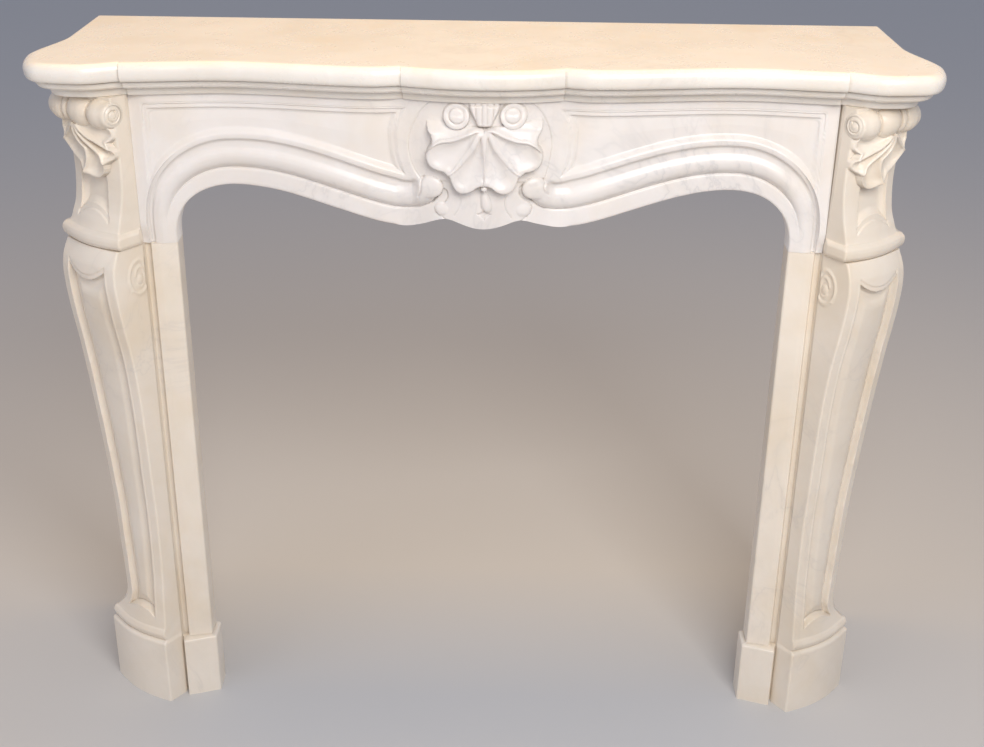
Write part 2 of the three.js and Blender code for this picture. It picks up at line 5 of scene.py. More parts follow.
import bmesh
import bpy
import numpy as np
from mathutils import Matrix, Vector


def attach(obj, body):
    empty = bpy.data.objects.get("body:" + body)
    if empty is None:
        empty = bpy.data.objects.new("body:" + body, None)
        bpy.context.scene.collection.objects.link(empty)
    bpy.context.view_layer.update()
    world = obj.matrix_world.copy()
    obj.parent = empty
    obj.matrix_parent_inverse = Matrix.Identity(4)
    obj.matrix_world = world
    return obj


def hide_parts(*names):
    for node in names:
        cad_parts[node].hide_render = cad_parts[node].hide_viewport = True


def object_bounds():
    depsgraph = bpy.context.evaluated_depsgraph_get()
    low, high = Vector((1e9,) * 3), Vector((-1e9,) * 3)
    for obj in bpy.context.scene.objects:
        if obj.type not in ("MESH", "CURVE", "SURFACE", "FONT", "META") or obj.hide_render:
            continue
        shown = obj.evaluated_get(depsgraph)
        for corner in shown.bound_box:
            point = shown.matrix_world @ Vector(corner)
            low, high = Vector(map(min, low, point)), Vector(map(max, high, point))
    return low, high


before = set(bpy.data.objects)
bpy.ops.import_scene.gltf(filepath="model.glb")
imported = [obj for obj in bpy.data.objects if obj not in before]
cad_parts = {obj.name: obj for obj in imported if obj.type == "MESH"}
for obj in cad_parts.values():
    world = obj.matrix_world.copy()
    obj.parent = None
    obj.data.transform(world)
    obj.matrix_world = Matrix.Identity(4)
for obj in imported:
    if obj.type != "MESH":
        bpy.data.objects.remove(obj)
cad_box = [list(corner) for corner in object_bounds()]

# Sizes of the stones in millimetres, as in the solids; the whole comes from the frame
MM = 0.001
(_, front_side, _), (shelf_end, wall_side, shelf_top) = cad_box
SHELF_DEPTH = round((wall_side - front_side) / MM, 1)
TOTAL_HEIGHT = round(shelf_top / MM, 1)
SHELF_HALF = round(shelf_end / MM, 1)
SHELF_THICKNESS = 52.0
FRIEZE_HEIGHT = 224.0
PLINTH_HEIGHT = 118.0
JAMB_PLINTH_HEIGHT = 110.0
JAMB_WIDTH = 49.0
LEG_INSET = 21.0
RETURN_INSET = 81.0
SIDE_OVERHANG = 38.0
BACK_OVERHANG = 9.0
LEG_SETBACK = 43.0
JOINT = 0.3
RETURN_THICKNESS = 26.0
TORUS = 26.0
CANT = math.radians(36.5)
BOW_BREAK_X = 111.0

UNDER_SHELF = TOTAL_HEIGHT - SHELF_THICKNESS
LEG_HEIGHT = UNDER_SHELF - FRIEZE_HEIGHT
BLOCK_FOOT = LEG_HEIGHT + JOINT
RETURN_OUTER = SHELF_HALF - SIDE_OVERHANG
CORNER_X = RETURN_OUTER - RETURN_INSET
FRIEZE_HALF = CORNER_X - LEG_INSET
HALF_OPENING = FRIEZE_HALF - JAMB_WIDTH
BREAK_X = FRIEZE_HALF - 4
SLAB_BACK = SHELF_DEPTH - 116
RETURN_REACH = SLAB_BACK - 41

# Relief value of a place outside a carved form
OUTSIDE = -40.0


# Numeric tools
def clamp01(t):
    return np.clip(t, 0.0, 1.0)


def smooth(t):
    t = clamp01(t)
    return t * t * (3 - 2 * t)


def mix(a, b, t):
    return a + (b - a) * t


def ramp(pairs, x):
    """Straight runs between [place, value] pairs."""
    px, pv = np.array(pairs, float).T
    return np.interp(x, px, pv)


def wave(pairs, x):
    """Smooth value along [place, value] pairs, level at each pair."""
    px, pv = np.array(pairs, float).T
    x = np.clip(x, px[0], px[-1])
    i = np.clip(np.searchsorted(px, x, side="right") - 1, 0, len(px) - 2)
    return mix(pv[i], pv[i + 1], smooth((x - px[i]) / (px[i + 1] - px[i])))


def hermite(start, end, start_slope, end_slope, t):
    return (
        start * (1 + 2 * t) * (1 - t) ** 2 + start_slope * t * (1 - t) ** 2
        + end * t * t * (3 - 2 * t) + end_slope * t * t * (t - 1)
    )


def curve(pairs, x):
    """Smooth curve through [place, value] pairs that never overshoots them."""
    px, pv = np.array(pairs, float).T
    h = np.diff(px)
    d = np.diff(pv) / h
    m = np.zeros_like(pv)
    same = d[:-1] * d[1:] > 0
    m[1:-1][same] = 2 * d[:-1][same] * d[1:][same] / (d[:-1] + d[1:])[same]
    m[0], m[-1] = d[0], d[-1]
    x = np.clip(x, px[0], px[-1])
    i = np.clip(np.searchsorted(px, x, side="right") - 1, 0, len(h) - 1)
    return hermite(pv[i], pv[i + 1], m[i] * h[i], m[i + 1] * h[i], (x - px[i]) / h[i])


def soft_max(a, b, blend):
    """The larger of two reliefs, rounded where they meet."""
    t = clamp01(0.5 + 0.5 * (a - b) / blend)
    return mix(b, a, t) + blend * t * (1 - t)


def bell(gap, width):
    """A soft bell-shaped ridge, one high where the gap is nought."""
    return np.exp(-(gap / width) ** 2)


def bend(start, corner, end, t):
    """A point on the rounding of a corner."""
    return (1 - t) ** 2 * start + 2 * t * (1 - t) * corner + t * t * end


def bezier(points, t):
    """Places and slopes along a cubic curve."""
    p = np.array(points, float)
    s = 1 - t
    w = np.stack([s ** 3, 3 * s * s * t, 3 * s * t * t, t ** 3], -1)
    slope = np.stack([-3 * s * s, 3 * s * s - 6 * s * t, 6 * s * t - 3 * t * t, 3 * t * t], -1)
    return w @ p, slope @ p


def smooth_points(points, steps=8):
    """A rounded line through the given points."""
    points = np.array(points, float)
    run = np.concatenate([[0], np.cumsum(np.hypot(*np.diff(points, axis=0).T))])
    s = np.linspace(0, run[-1], steps * (len(points) - 1) + 1)
    out = []
    for k in (0, 1):
        m = np.gradient(points[:, k], run)
        i = np.clip(np.searchsorted(run, s, side="right") - 1, 0, len(run) - 2)
        h = run[i + 1] - run[i]
        out.append(hermite(points[i, k], points[i + 1, k], m[i] * h, m[i + 1] * h, (s - run[i]) / h))
    return np.stack(out, 1)


def nearest(x, z, points):
    """Distance to an open line through the points, and the side: above nought on its left as it runs."""
    best = np.full(x.shape, 1e9)
    sign = np.ones(x.shape)
    points = np.array(points, float)
    for (ax, az), (bx, bz) in zip(points[:-1], points[1:]):
        run_x, run_z = bx - ax, bz - az
        t = clamp01(((x - ax) * run_x + (z - az) * run_z) / (run_x ** 2 + run_z ** 2))
        gap = np.hypot(x - ax - t * run_x, z - az - t * run_z)
        sign = np.where(gap < best, np.sign(run_x * (z - az) - run_z * (x - ax)), sign)
        best = np.minimum(best, gap)
    return best, sign


def line_distance(x, z, points):
    return nearest(x, z, points)[0]


def signed_distance(x, z, points):
    best, sign = nearest(x, z, points)
    return best * sign


def dome(gap, radius, height):
    """A round boss of the given height above its edge; far below zero outside it."""
    return np.where(gap < radius, height * np.sqrt(clamp01(1 - (gap / radius) ** 2)), OUTSIDE)


def from_wall(reach):
    return SHELF_DEPTH / 2 - reach


def level_ring(outline, z):
    """A level ring of points from places along the width and reaches from the wall."""
    return np.stack([outline[:, 0], from_wall(outline[:, 1]), np.full(len(outline), z)], 1)


# Meshes
def grid_faces(rows, columns, wrap=False):
    """Quads of a grid of rows x columns points; wrap joins the last column to the first."""
    r = np.arange(rows - 1)[:, None]
    c = np.arange(columns if wrap else columns - 1)[None, :]
    n = (c + 1) % columns
    a = r * columns + c
    b = r * columns + n
    return np.stack([a, b, b + columns, a + columns], -1).reshape(-1, 4)


def grid(points, wrap=False, caps=False):
    """A part from points shaped (rows, columns, 3)."""
    rows, columns = points.shape[:2]
    faces = grid_faces(rows, columns, wrap).tolist()
    if caps:
        faces.append(list(range(columns))[::-1])
        faces.append([(rows - 1) * columns + i for i in range(columns)])
    return points.reshape(-1, 3), faces


def piece(name, parts, material, node, mirror=False, sharp=50):
    """One visible piece from one or more parts in millimetres; it stands for a node of the solids."""
    verts, faces = [], []
    for points, quads in parts:
        base = len(verts)
        verts.extend(np.asarray(points, float).tolist())
        faces.extend([[base + i for i in face] for face in quads])
    verts = np.array(verts) * MM
    if mirror:
        verts[:, 0] *= -1
    mesh = bpy.data.meshes.new(name)
    mesh.from_pydata(verts.tolist(), [], faces)
    bm = bmesh.new()
    bm.from_mesh(mesh)
    bmesh.ops.recalc_face_normals(bm, faces=bm.faces)
    limit = math.radians(sharp)
    for edge in bm.edges:
        if len(edge.link_faces) == 2 and edge.calc_face_angle(0) > limit:
            edge.smooth = False
    for face in bm.faces:
        face.smooth = True
    bm.to_mesh(mesh)
    bm.free()
    obj = bpy.data.objects.new(name, mesh)
    bpy.context.scene.collection.objects.link(obj)
    mesh.materials.append(material)
    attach(obj, "root")
    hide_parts(node)


# Marble
BLACK, WHITE = (0, 0, 0), (1, 1, 1)


def grey(value):
    return (value,) * 3


def marble(name, light, dark, warm, vein, rough, seed):
    """Polished white marble: clouded body, thin grey veins, warm stains, a darker warm tone in hollows and a
    lighter tone on edges.
    """
    mat = bpy.data.materials.new(name)
    mat.use_nodes = True
    nodes, links = mat.node_tree.nodes, mat.node_tree.links
    shader = nodes["Principled BSDF"]

    def math_node(operation, *values):
        made = nodes.new("ShaderNodeMath")
        made.operation = operation
        for socket, value in zip(made.inputs, values):
            if hasattr(value, "links"):
                links.new(value, socket)
            else:
                socket.default_value = value
        return made.outputs[0]

    def colours(factor, *stops):
        made = nodes.new("ShaderNodeValToRGB")
        for element, (place, colour) in zip(made.color_ramp.elements, (stops[0], stops[-1])):
            element.position = place
            element.color = (*colour, 1)
        for place, colour in stops[1:-1]:
            made.color_ramp.elements.new(place).color = (*colour, 1)
        links.new(factor, made.inputs["Fac"])
        return made.outputs["Color"]

    def over(base, colour, share):
        made = nodes.new("ShaderNodeMix")
        made.data_type = "RGBA"
        factor, under, upper = made.inputs[0], made.inputs[6], made.inputs[7]
        links.new(share, factor)
        links.new(base, under)
        upper.default_value = (*colour, 1)
        return made.outputs[2]

    shift = nodes.new("ShaderNodeMapping")
    shift.inputs["Location"].default_value = (seed * 1.7, seed * 0.9, seed * 2.3)
    links.new(nodes.new("ShaderNodeTexCoord").outputs["Object"], shift.inputs["Vector"])

    def noise(scale, detail, roughness=0.5, distortion=0.0):
        made = nodes.new("ShaderNodeTexNoise")
        made.inputs["Scale"].default_value = scale
        made.inputs["Detail"].default_value = detail
        made.inputs["Roughness"].default_value = roughness
        made.inputs["Distortion"].default_value = distortion
        links.new(shift.outputs["Vector"], made.inputs["Vector"])
        return made.outputs["Fac"]

    body = colours(noise(5.5, 6.0, 0.6, 0.6), (0.3, dark), (0.62, light))

    # thin veins where a warped noise crosses its middle, in some places only
    crossing = math_node("ABSOLUTE", math_node("SUBTRACT", noise(3.2, 5.0, 0.62, 1.4), 0.5))
    line = colours(crossing, (0.0, WHITE), (0.012, grey(0.35)), (0.045, BLACK))
    veined = colours(noise(2.1, 2.0), (0.45, BLACK), (0.66, WHITE))
    body = over(body, vein, math_node("MULTIPLY", math_node("MULTIPLY", line, veined), 0.4))

    # warm stains and rare dark flecks
    body = over(body, warm, colours(noise(9.0, 4.0, 0.55), (0.5, BLACK), (0.75, grey(0.55))))
    fleck = nodes.new("ShaderNodeTexVoronoi")
    fleck.inputs["Scale"].default_value = 70.0
    links.new(shift.outputs["Vector"], fleck.inputs["Vector"])
    dots = colours(fleck.outputs["Distance"], (0.0, grey(0.3)), (0.075, BLACK))
    allowed = colours(noise(14.0, 1.0), (0.6, BLACK), (0.68, WHITE))
    body = over(body, tuple(c * 0.62 for c in vein), math_node("MULTIPLY", dots, allowed))

    # darker warm tone in the hollows of the carving and lighter tone on its edges, both set by the surface's
    # curvature
    hollow = nodes.new("ShaderNodeNewGeometry").outputs["Pointiness"]
    body = over(body, tuple(c * 0.62 for c in warm), colours(hollow, (0.40, grey(0.75)), (0.485, BLACK)))
    edge_share = colours(hollow, (0.53, BLACK), (0.60, grey(0.5)))
    body = over(body, tuple(min(1, c * 1.05) for c in light), edge_share)
    links.new(body, shader.inputs["Base Color"])

    roughness = nodes.new("ShaderNodeMapRange")
    links.new(noise(18.0, 5.0, 0.6), roughness.inputs["Value"])
    roughness.inputs["To Min"].default_value = rough - 0.06
    roughness.inputs["To Max"].default_value = rough + 0.09
    links.new(roughness.outputs["Result"], shader.inputs["Roughness"])

    bumps = nodes.new("ShaderNodeBump")
    bumps.inputs["Strength"].default_value = 0.35
    bumps.inputs["Distance"].default_value = 0.0006
    heights = math_node("MULTIPLY_ADD", noise(420.0, 2.0, 0.6), 0.06, noise(26.0, 3.0))
    links.new(heights, bumps.inputs["Height"])
    links.new(bumps.outputs["Normal"], shader.inputs["Normal"])

    shader.inputs["IOR"].default_value = 1.49
    shader.inputs["Subsurface Weight"].default_value = 0.12
    shader.inputs["Subsurface Radius"].default_value = (1.0, 0.75, 0.55)
    shader.inputs["Subsurface Scale"].default_value = 0.004
    return mat


shelf_marble = marble(
    "shelf_marble", light=(0.84, 0.795, 0.73), dark=(0.78, 0.725, 0.645), warm=(0.76, 0.66, 0.51),
    vein=(0.62, 0.57, 0.51), rough=0.27, seed=1.0,
)
carved_marble = marble(
    "carved_marble", light=(0.81, 0.77, 0.735), dark=(0.745, 0.70, 0.66), warm=(0.75, 0.67, 0.57),
    vein=(0.47, 0.46, 0.46), rough=0.32, seed=4.0,
)
leg_marble = marble(
    "leg_marble", light=(0.82, 0.74, 0.635), dark=(0.755, 0.67, 0.555), warm=(0.74, 0.62, 0.46),
    vein=(0.50, 0.46, 0.42), rough=0.32, seed=7.0,
)


# Shelf: the front line of its nose, its edge profile and the outline at each offset
EAR_X = CORNER_X + 29
FLARE_START, FLARE_LENGTH = 150, 112
NOSE_THICKNESS = 27
PLAIN_SIDE, UPPER_SIDE = 0.7, 1.7


def nose_reach(x):
    along = np.abs(x)
    bow = mix(SHELF_DEPTH, SHELF_DEPTH - 19, (along / BOW_BREAK_X) ** 2)
    hollow = wave([
        [BOW_BREAK_X - 22, SHELF_DEPTH - 25], [150, SHELF_DEPTH - 13],
        [HALF_OPENING - 89, SHELF_DEPTH - 34], [BREAK_X + 16, SHELF_DEPTH - 18],
    ], along)
    ear = wave([[BREAK_X - 25, SHELF_DEPTH - 29], [EAR_X, SHELF_DEPTH - 2]], along)
    ear = ear - 36 * (1 - np.sqrt(1 - clamp01((along - EAR_X) / 92) ** 2))
    return np.where(along < BOW_BREAK_X, bow, np.where(along < BREAK_X, hollow, ear))


def shelf_outline(offset, sideways):
    """Outline of the slab, held back from its nose by the offset and from its ends by a share of it."""
    side = SHELF_HALF - sideways * offset
    back = RETURN_OUTER + BACK_OVERHANG - PLAIN_SIDE * offset

    def side_at(reach):
        return mix(back, side, smooth((reach - FLARE_START) / FLARE_LENGTH))

    start_x = SHELF_HALF - 36 - 0.85 * offset
    start_reach, before = (float(nose_reach(np.array(x))) for x in (start_x, start_x - 1.0))
    ear_start = np.array([start_x, start_reach - offset])
    ear_reach = 257 - 0.4 * offset
    ear_end = np.array([side_at(ear_reach), ear_reach])
    tip_x = side - 8
    ear_tip = np.array([tip_x, ear_start[1] + (start_reach - before) * (tip_x - start_x)])
    mitre = 0.4
    places = np.concatenate([
        np.linspace(0, BOW_BREAK_X - mitre, 46),
        np.linspace(BOW_BREAK_X + mitre, BREAK_X - mitre, 120),
        np.linspace(BREAK_X + mitre, start_x - 1.5, 30),
    ])
    front = np.stack([places, nose_reach(places) - offset], 1)
    ear = bend(ear_start, ear_tip, ear_end, np.linspace(0, 1, 34)[:, None])
    reaches = np.linspace(ear_reach - 4, 105, 34)
    flank = np.stack([side_at(reaches), reaches], 1)
    half = np.concatenate([front, ear, flank, [[back, 0]]])
    return np.concatenate([half, (half[1:] * [-1, 1])[::-1]])


def shelf_parts():
    """Slanted face, step, cove, shadow groove and half-round nose, from below, as offset and height."""
    low = TOTAL_HEIGHT - NOSE_THICKNESS
    cove = np.linspace(0, np.pi / 2, 12)
    under = [
        (38, 0), (37.4, 0.6), (36.6, 4), (35.2, 8.6), (35.0, 9.6), (36.6, 10.0), (36.6, 10.9), (30.6, 11.3),
        *((30.2 - 14 * np.sin(a), 18.2 - 6.6 * np.cos(a)) for a in cove), (15.6, 18.6),
    ]
    profile = [(offset, UNDER_SHELF + rise, PLAIN_SIDE) for offset, rise in under]
    profile += [(offset, low - drop, PLAIN_SIDE) for offset, drop in ((15.0, 2.4), (17.4, 2.0), (17.4, 0.3))]
    for a in np.linspace(-np.pi / 2, np.pi / 2, 30):
        deepest, power, sideways = (11.5, 0.9, UPPER_SIDE) if a > 0 else (8.5, 0.8, PLAIN_SIDE)
        inset = deepest * (1 - abs(np.cos(a)) ** power)
        profile.append((inset, mix(low, TOTAL_HEIGHT, (np.sin(a) + 1) / 2), sideways))
    profile += [(12.5, TOTAL_HEIGHT, UPPER_SIDE)]
    rings = [level_ring(shelf_outline(offset, sideways), z) for offset, z, sideways in profile]
    return [grid(np.array(rings), wrap=True, caps=True)]


# Canted legs and blocks: a place across the face, a reach along the cant and a height
ACROSS = np.array([-math.cos(CANT), math.sin(CANT)])
OUTWARD = np.array([-math.sin(CANT), -math.cos(CANT)])
CORNER = np.array([-CORNER_X, from_wall(SHELF_DEPTH - LEG_SETBACK)])


def canted(place, reach, z):
    place, reach, z = np.broadcast_arrays(np.asarray(place, float), reach, z)
    return np.stack([
        CORNER[0] + ACROSS[0] * place + OUTWARD[0] * reach,
        CORNER[1] + ACROSS[1] * place + OUTWARD[1] * reach,
        z,
    ], -1)


def eased(gap, radius):
    """How far an eased arris falls back at a gap from its line."""
    return 0.8 * radius * (1 - np.sqrt(1 - (1 - clamp01(gap / radius)) ** 2))


def leg_rings(levels, shape, relief, inner_relief, across, along, gap=lambda z: 0.0):
    """The bowed face, the flat inner side and the plain back of a leg or block, one ring for each level."""
    closer = (1 - np.cos(np.linspace(0, np.pi, across))) / 2
    face_share = mix(np.linspace(0, 1, across), closer, 0.25)
    return_front = from_wall(RETURN_REACH + JOINT)
    rings = []
    for z in levels:
        face, inner, reach, bow = (float(shape[k](z)) for k in ("face", "inner", "reach", "bow"))
        joint_x = -(FRIEZE_HALF + JOINT) - float(gap(z))
        run = (joint_x + CORNER_X - inner * math.cos(CANT)) / math.sin(CANT)
        place = -inner + (face + inner) * face_share
        outline = reach + bow * np.sin(np.pi * face_share) + relief(place, np.full(across, z), face)
        outline = outline - eased(place + inner, 2.6) - eased(face - place, 3.0)
        depth = mix(-run, outline[0] - 0.4, np.linspace(1.0, 0.0, along))
        wide = -inner - inner_relief(outline[0] - depth, np.full(along, z))
        inside = canted(wide, depth, z)[1:][::-1]
        inside[0] = [joint_x, canted(-inner, -run, z)[1], z]
        back = [
            [-RETURN_OUTER, return_front, z], [RETURN_THICKNESS - RETURN_OUTER, return_front, z],
            [joint_x, from_wall(SLAB_BACK - 16), z],
        ]
        rings.append(np.concatenate([inside, canted(place, outline, z), back]))
    return np.array(rings)


# Console leg
BASE = PLINTH_HEIGHT
SCROLL_Z = LEG_HEIGHT - 47


def shaft(share):
    return mix(PLINTH_HEIGHT, LEG_HEIGHT, share)


CONSOLE_FACE = [
    [BASE - 3, 131], [BASE, 129], [BASE + 2, 121], [BASE + 6, 126], [BASE + 13, 128], [BASE + 21, 126],
    [BASE + 26, 119], [BASE + 37, 108], [BASE + 52, 97], [BASE + 72, 92], [shaft(0.17), 97],
    [shaft(0.27), 102], [shaft(0.41), 107], [shaft(0.515), 113], [shaft(0.64), 121], [shaft(0.745), 124],
    [shaft(0.85), 122], [shaft(0.925), 119.5], [shaft(0.953), 118], [LEG_HEIGHT, 114],
]
CONSOLE_REACH = [
    [BASE - 3, 2], [BASE, 0], [BASE + 2, -4], [BASE + 6, -1], [BASE + 13, 1], [BASE + 21, -1],
    [BASE + 25, -3], [BASE + 42, -4], [shaft(0.11), -5.5], [shaft(0.19), -8.5], [shaft(0.32), -9.5],
    [shaft(0.44), -7], [shaft(0.6), -3.5], [shaft(0.67), -0.6], [shaft(0.73), 3.2], [shaft(0.775), 7.4],
    [shaft(0.81), 11.8], [shaft(0.86), 17.2], [shaft(0.9), 20.5], [shaft(0.93), 22], [shaft(0.96), 20.5],
    [LEG_HEIGHT - 16, 17.5], [LEG_HEIGHT, 11],
]
console_shape = {
    "face": lambda z: curve(CONSOLE_FACE, z),
    "reach": lambda z: curve(CONSOLE_REACH, z),
    "inner": lambda z: ramp([[BASE - 3, 2], [BASE + 2, 0]], z),
    "bow": lambda z: ramp([[BASE + 26, 11], [BASE + 60, 7]], z),
}


def console_relief(place, z, face):
    """The sunk panel with its swelling field, a ledge over its sagging head and a fine bead around it."""
    share = place / face
    bulge = 1 - ((share - 0.5) / 0.36) ** 2
    side = np.minimum(place, face - place) - 19
    foot = z - (BASE + 39 + 15 * np.maximum(0, bulge))
    head = shaft(0.928) + 20 * np.minimum(1, 1 - bulge) - z
    deep = np.minimum(np.minimum(side, foot), head)
    wall = 9 * curve([[0, 0], [0.6, 0.5], [1.4, 0.8], [2.4, 0.95], [4, 1.0]], deep)
    middle = 4.6 * smooth((deep - 4.8) / 18) * smooth((head - 6) / 26)
    groove = 3.0 * bell(deep - 4.8, 1.3) * smooth((head - 2) / 10)
    ledge = smooth(np.minimum(side + 1, head + 8.5) / 1.2) * smooth((1.5 - head) / 1.5) * (z > shaft(0.8))
    bead = bell(side + 2.2, 1.3) * smooth((z - BASE - 36) / 14) * smooth((shaft(0.955) - z) / 14)
    return middle - wall - groove - 1.4 * ledge + 0.7 * bead


def console_inner_relief(depth, z):
    """The flat C-scroll high on the inner side: an open oval rim, a comma, an eye and a hook below."""
    turn = np.arctan2((z - SCROLL_Z) / 26.0, (depth - 41) / 16.0)
    oval = np.hypot((depth - 41) / 16.0, (z - SCROLL_Z) / 26.0)
    opening = smooth((turn + 0.75) / 0.3) * smooth((0.35 - turn) / 0.3)
    rim = 1.7 * bell((oval - 1) * 16, 2.1) * (1 - opening)
    inner = np.hypot((depth - 44) / 8.2, (z - SCROLL_Z) / 15.0)
    comma = 1.4 * bell((inner - 1) * 8.5, 1.7) * smooth((turn + 2.4) / 0.5)
    eye = 2.3 * np.sqrt(clamp01(1 - np.hypot((depth - 44) / 6.2, (z - SCROLL_Z + 4) / 8.0) ** 2))
    line = [(28, SCROLL_Z - 19), (36, SCROLL_Z - 24), (46, SCROLL_Z - 24), (54, SCROLL_Z - 19)]
    hook = 1.8 * bell(line_distance(depth, z, line), 2.2)
    return np.maximum(np.maximum(rim, comma), np.maximum(eye, hook))


def console_parts():
    levels = np.unique(np.concatenate([
        [0, 1.0, 2.2], np.linspace(6, BASE - 6, 26), [BASE - 3, BASE - 1.6, BASE - 0.6],
        np.linspace(BASE, BASE + 30, 34), np.linspace(BASE + 31, BASE + 80, 44),
        np.linspace(BASE + 84, shaft(0.84), 110), np.linspace(shaft(0.842), LEG_HEIGHT, 84),
    ]))
    rings = leg_rings(levels, console_shape, console_relief, console_inner_relief, across=112, along=44)
    return [grid(rings, wrap=True, caps=True)]


# Corner block
def neck(share):
    return mix(BLOCK_FOOT + TORUS, UNDER_SHELF - JOINT, share)


block_shape = {
    "reach": lambda z: curve([
        [BLOCK_FOOT, 5], [BLOCK_FOOT + 4, 10], [BLOCK_FOOT + 9, 12.5], [BLOCK_FOOT + 14, 13],
        [BLOCK_FOOT + 19, 12.5], [BLOCK_FOOT + 24, 9], [neck(0), 6], [neck(0.08), 2.5], [neck(0.15), -1],
        [neck(0.25), -3.5], [neck(0.39), -5], [neck(0.62), -4], [neck(0.73), -2], [neck(1), 2],
    ], z),
    "face": lambda z: curve([
        [BLOCK_FOOT, 113], [BLOCK_FOOT + 4, 118], [BLOCK_FOOT + 14, 121], [BLOCK_FOOT + 24, 117],
        [neck(0), 110], [neck(0.08), 104], [neck(0.2), 100], [neck(0.46), 98], [neck(0.6), 101],
        [neck(0.73), 105], [neck(0.86), 108],
    ], z),
    "inner": lambda z: curve([
        [BLOCK_FOOT, 0.8], [BLOCK_FOOT + 4, 6], [BLOCK_FOOT + 9, 8], [BLOCK_FOOT + 19, 8],
        [BLOCK_FOOT + 24, 4.8], [neck(0), 1.0], [neck(0.1), 2.0], [neck(0.4), 6.5], [neck(0.7), 8],
        [neck(1), 8],
    ], z),
    "bow": lambda z: ramp([[BLOCK_FOOT + 14, 11], [neck(0.1), 7]], z),
}
LEAF_HINGE = UNDER_SHELF - 42
LEAF_AT = 55.0


def fan_relief(across, down, fan):
    """Height of a lobed leaf with curved ribs that hangs from its node.

    The edge's radius and the ribs' lines go by the angle from straight down, in degrees. An even leaf has
    the same ribs on both sides. Crest and sink are the heights along a rib and of the troughs between ribs.
    """
    radius = np.hypot(across, down)
    angle = np.degrees(np.arctan2(np.abs(across) if fan["even"] else across, down))
    edge = curve(fan["edge"], angle)
    q = radius / edge
    safe = np.maximum(radius, 2.0)
    crest = curve(fan["crest"], q)
    sink = curve(fan["sink"], q)
    lines = [np.broadcast_to(curve(line, radius), radius.shape) for line in fan["lines"]]
    halves = [np.degrees(curve(half, radius) / safe) for half in fan["halves"]]
    height = np.array(crest)
    for k in range(len(lines) - 1):
        low, high = lines[k] + halves[k], lines[k + 1] - halves[k + 1]
        wide = np.maximum(high - low, 0.5)
        share = clamp01((angle - low) / wide)
        inside = (angle > low) & (angle < high)
        trough = 1 - np.abs(2 * share - 1) ** 2.1
        border = np.minimum(share, 1 - share) * np.radians(wide) * radius
        line = 0.9 * bell(border, 1.0) * smooth((q - 0.10) / 0.15) * smooth((1.0 - q) / 0.12)
        height = np.where(inside, crest - sink * trough - line, height)
    for line, half, rise in zip(lines, halves, fan["rises"]):
        v = (angle - line) / np.maximum(half, 0.3)
        height = np.where(np.abs(v) < 1, crest + rise * (1 - v * v) * smooth(q / 0.2), height)
    lip = 0.9 * smooth((q - 0.86) / 0.08) * smooth((1.0 - q) / 0.03)
    fall = np.maximum(smooth((radius - edge) / 1.7), smooth((np.abs(angle) - fan["end"]) / 5))
    return mix(height + lip, OUTSIDE, fall)


SHELL = {
    "edge": [
        [0, 79.6], [3, 80.2], [7, 83], [11, 89], [16, 94.6], [20.3, 96.2], [25, 94.8], [31, 88.5],
        [36.2, 83.2], [42.3, 83.2], [47, 87.5], [51.5, 91.6], [56.5, 93.7], [62, 92], [66, 88.2],
        [68.8, 84.3], [72.5, 77.5], [77, 75], [82, 75.4], [88, 79], [94, 80.5], [104, 77],
    ],
    "crest": [[0, 12], [0.25, 11.2], [0.55, 9.8], [0.8, 11.0], [0.95, 12.8], [1, 12.6]],
    "sink": [[0, 0], [0.12, 2.2], [0.4, 5.2], [0.65, 5.0], [0.9, 2.2], [1, 1.2]],
    "lines": [
        [[0, 0], [90, 0]],
        [[6, 52], [18, 38], [31, 33], [53, 34.2], [70, 35.5], [84, 38.5]],
        [[10, 90], [18, 80], [28, 73], [46, 71], [63, 73.5], [72, 72.5], [84, 68.5]],
        [[0, 112], [90, 100]],
    ],
    "halves": [
        [[0, 4.4], [20, 3.6], [45, 1.6], [80, 0.9]],
        [[0, 3], [31, 4.2], [53, 3.9], [70, 2.8], [85, 0.9]],
        [[0, 3.4], [30, 3.2], [60, 3.3], [72, 2.2], [84, 0.7]],
        [[0, 0.5], [90, 0.5]],
    ],
    "rises": [1.4, 1.3, 3.0, 0.0],
    "end": 98,
    "even": True,
}
LEAF = {
    "edge": [
        [-96, 38], [-88, 40], [-78, 43], [-72, 45.5], [-64, 44.5], [-56, 46.5], [-48, 50.5], [-36, 53],
        [-24, 56], [-14, 57.5], [-6, 59.5], [-1, 66.5], [3, 71.5], [9, 75], [16, 79], [22, 81],
        [30, 79.5], [36, 75.5],
        [41, 71], [46, 71.5], [52, 74], [57, 74.5], [61, 71], [64.5, 62], [67, 57.5], [71, 60], [78, 63.5],
        [85, 62], [92, 57],
    ],
    "crest": [[0, 15], [0.3, 13], [0.55, 11.4], [0.8, 11.4], [0.95, 12.6], [1, 12.2]],
    "sink": [[0, 0], [0.12, 3], [0.4, 8], [0.7, 9.6], [0.88, 8], [1, 4.4]],
    "lines": [
        [[0, -108], [80, -100]],
        [[6, -70], [20, -58], [45, -52]],
        [[6, -36], [20, -6], [30, 13], [37, 21], [48, 17], [64, 7], [75, 2]],
        [[6, 16], [20, 30], [32, 37], [54, 45], [64, 43], [80, 39]],
        [[6, 50], [25, 52], [41, 58], [63, 62], [78, 64]],
        [[0, 104], [80, 98]],
    ],
    "halves": [
        [[0, 0.5], [90, 0.5]],
        [[0, 2.4], [20, 2.6], [38, 1.6], [46, 0.8]],
        [[0, 2.4], [25, 2.8], [50, 2.2], [70, 0.9]],
        [[0, 2.8], [30, 3.2], [55, 2.6], [76, 0.9]],
        [[0, 2.4], [30, 2.8], [45, 2.2], [66, 0.9]],
        [[0, 0.5], [90, 0.5]],
    ],
    "rises": [0.0, 1.4, 1.8, 2.4, 1.8, 0.0],
    "end": 93,
    "even": False,
}


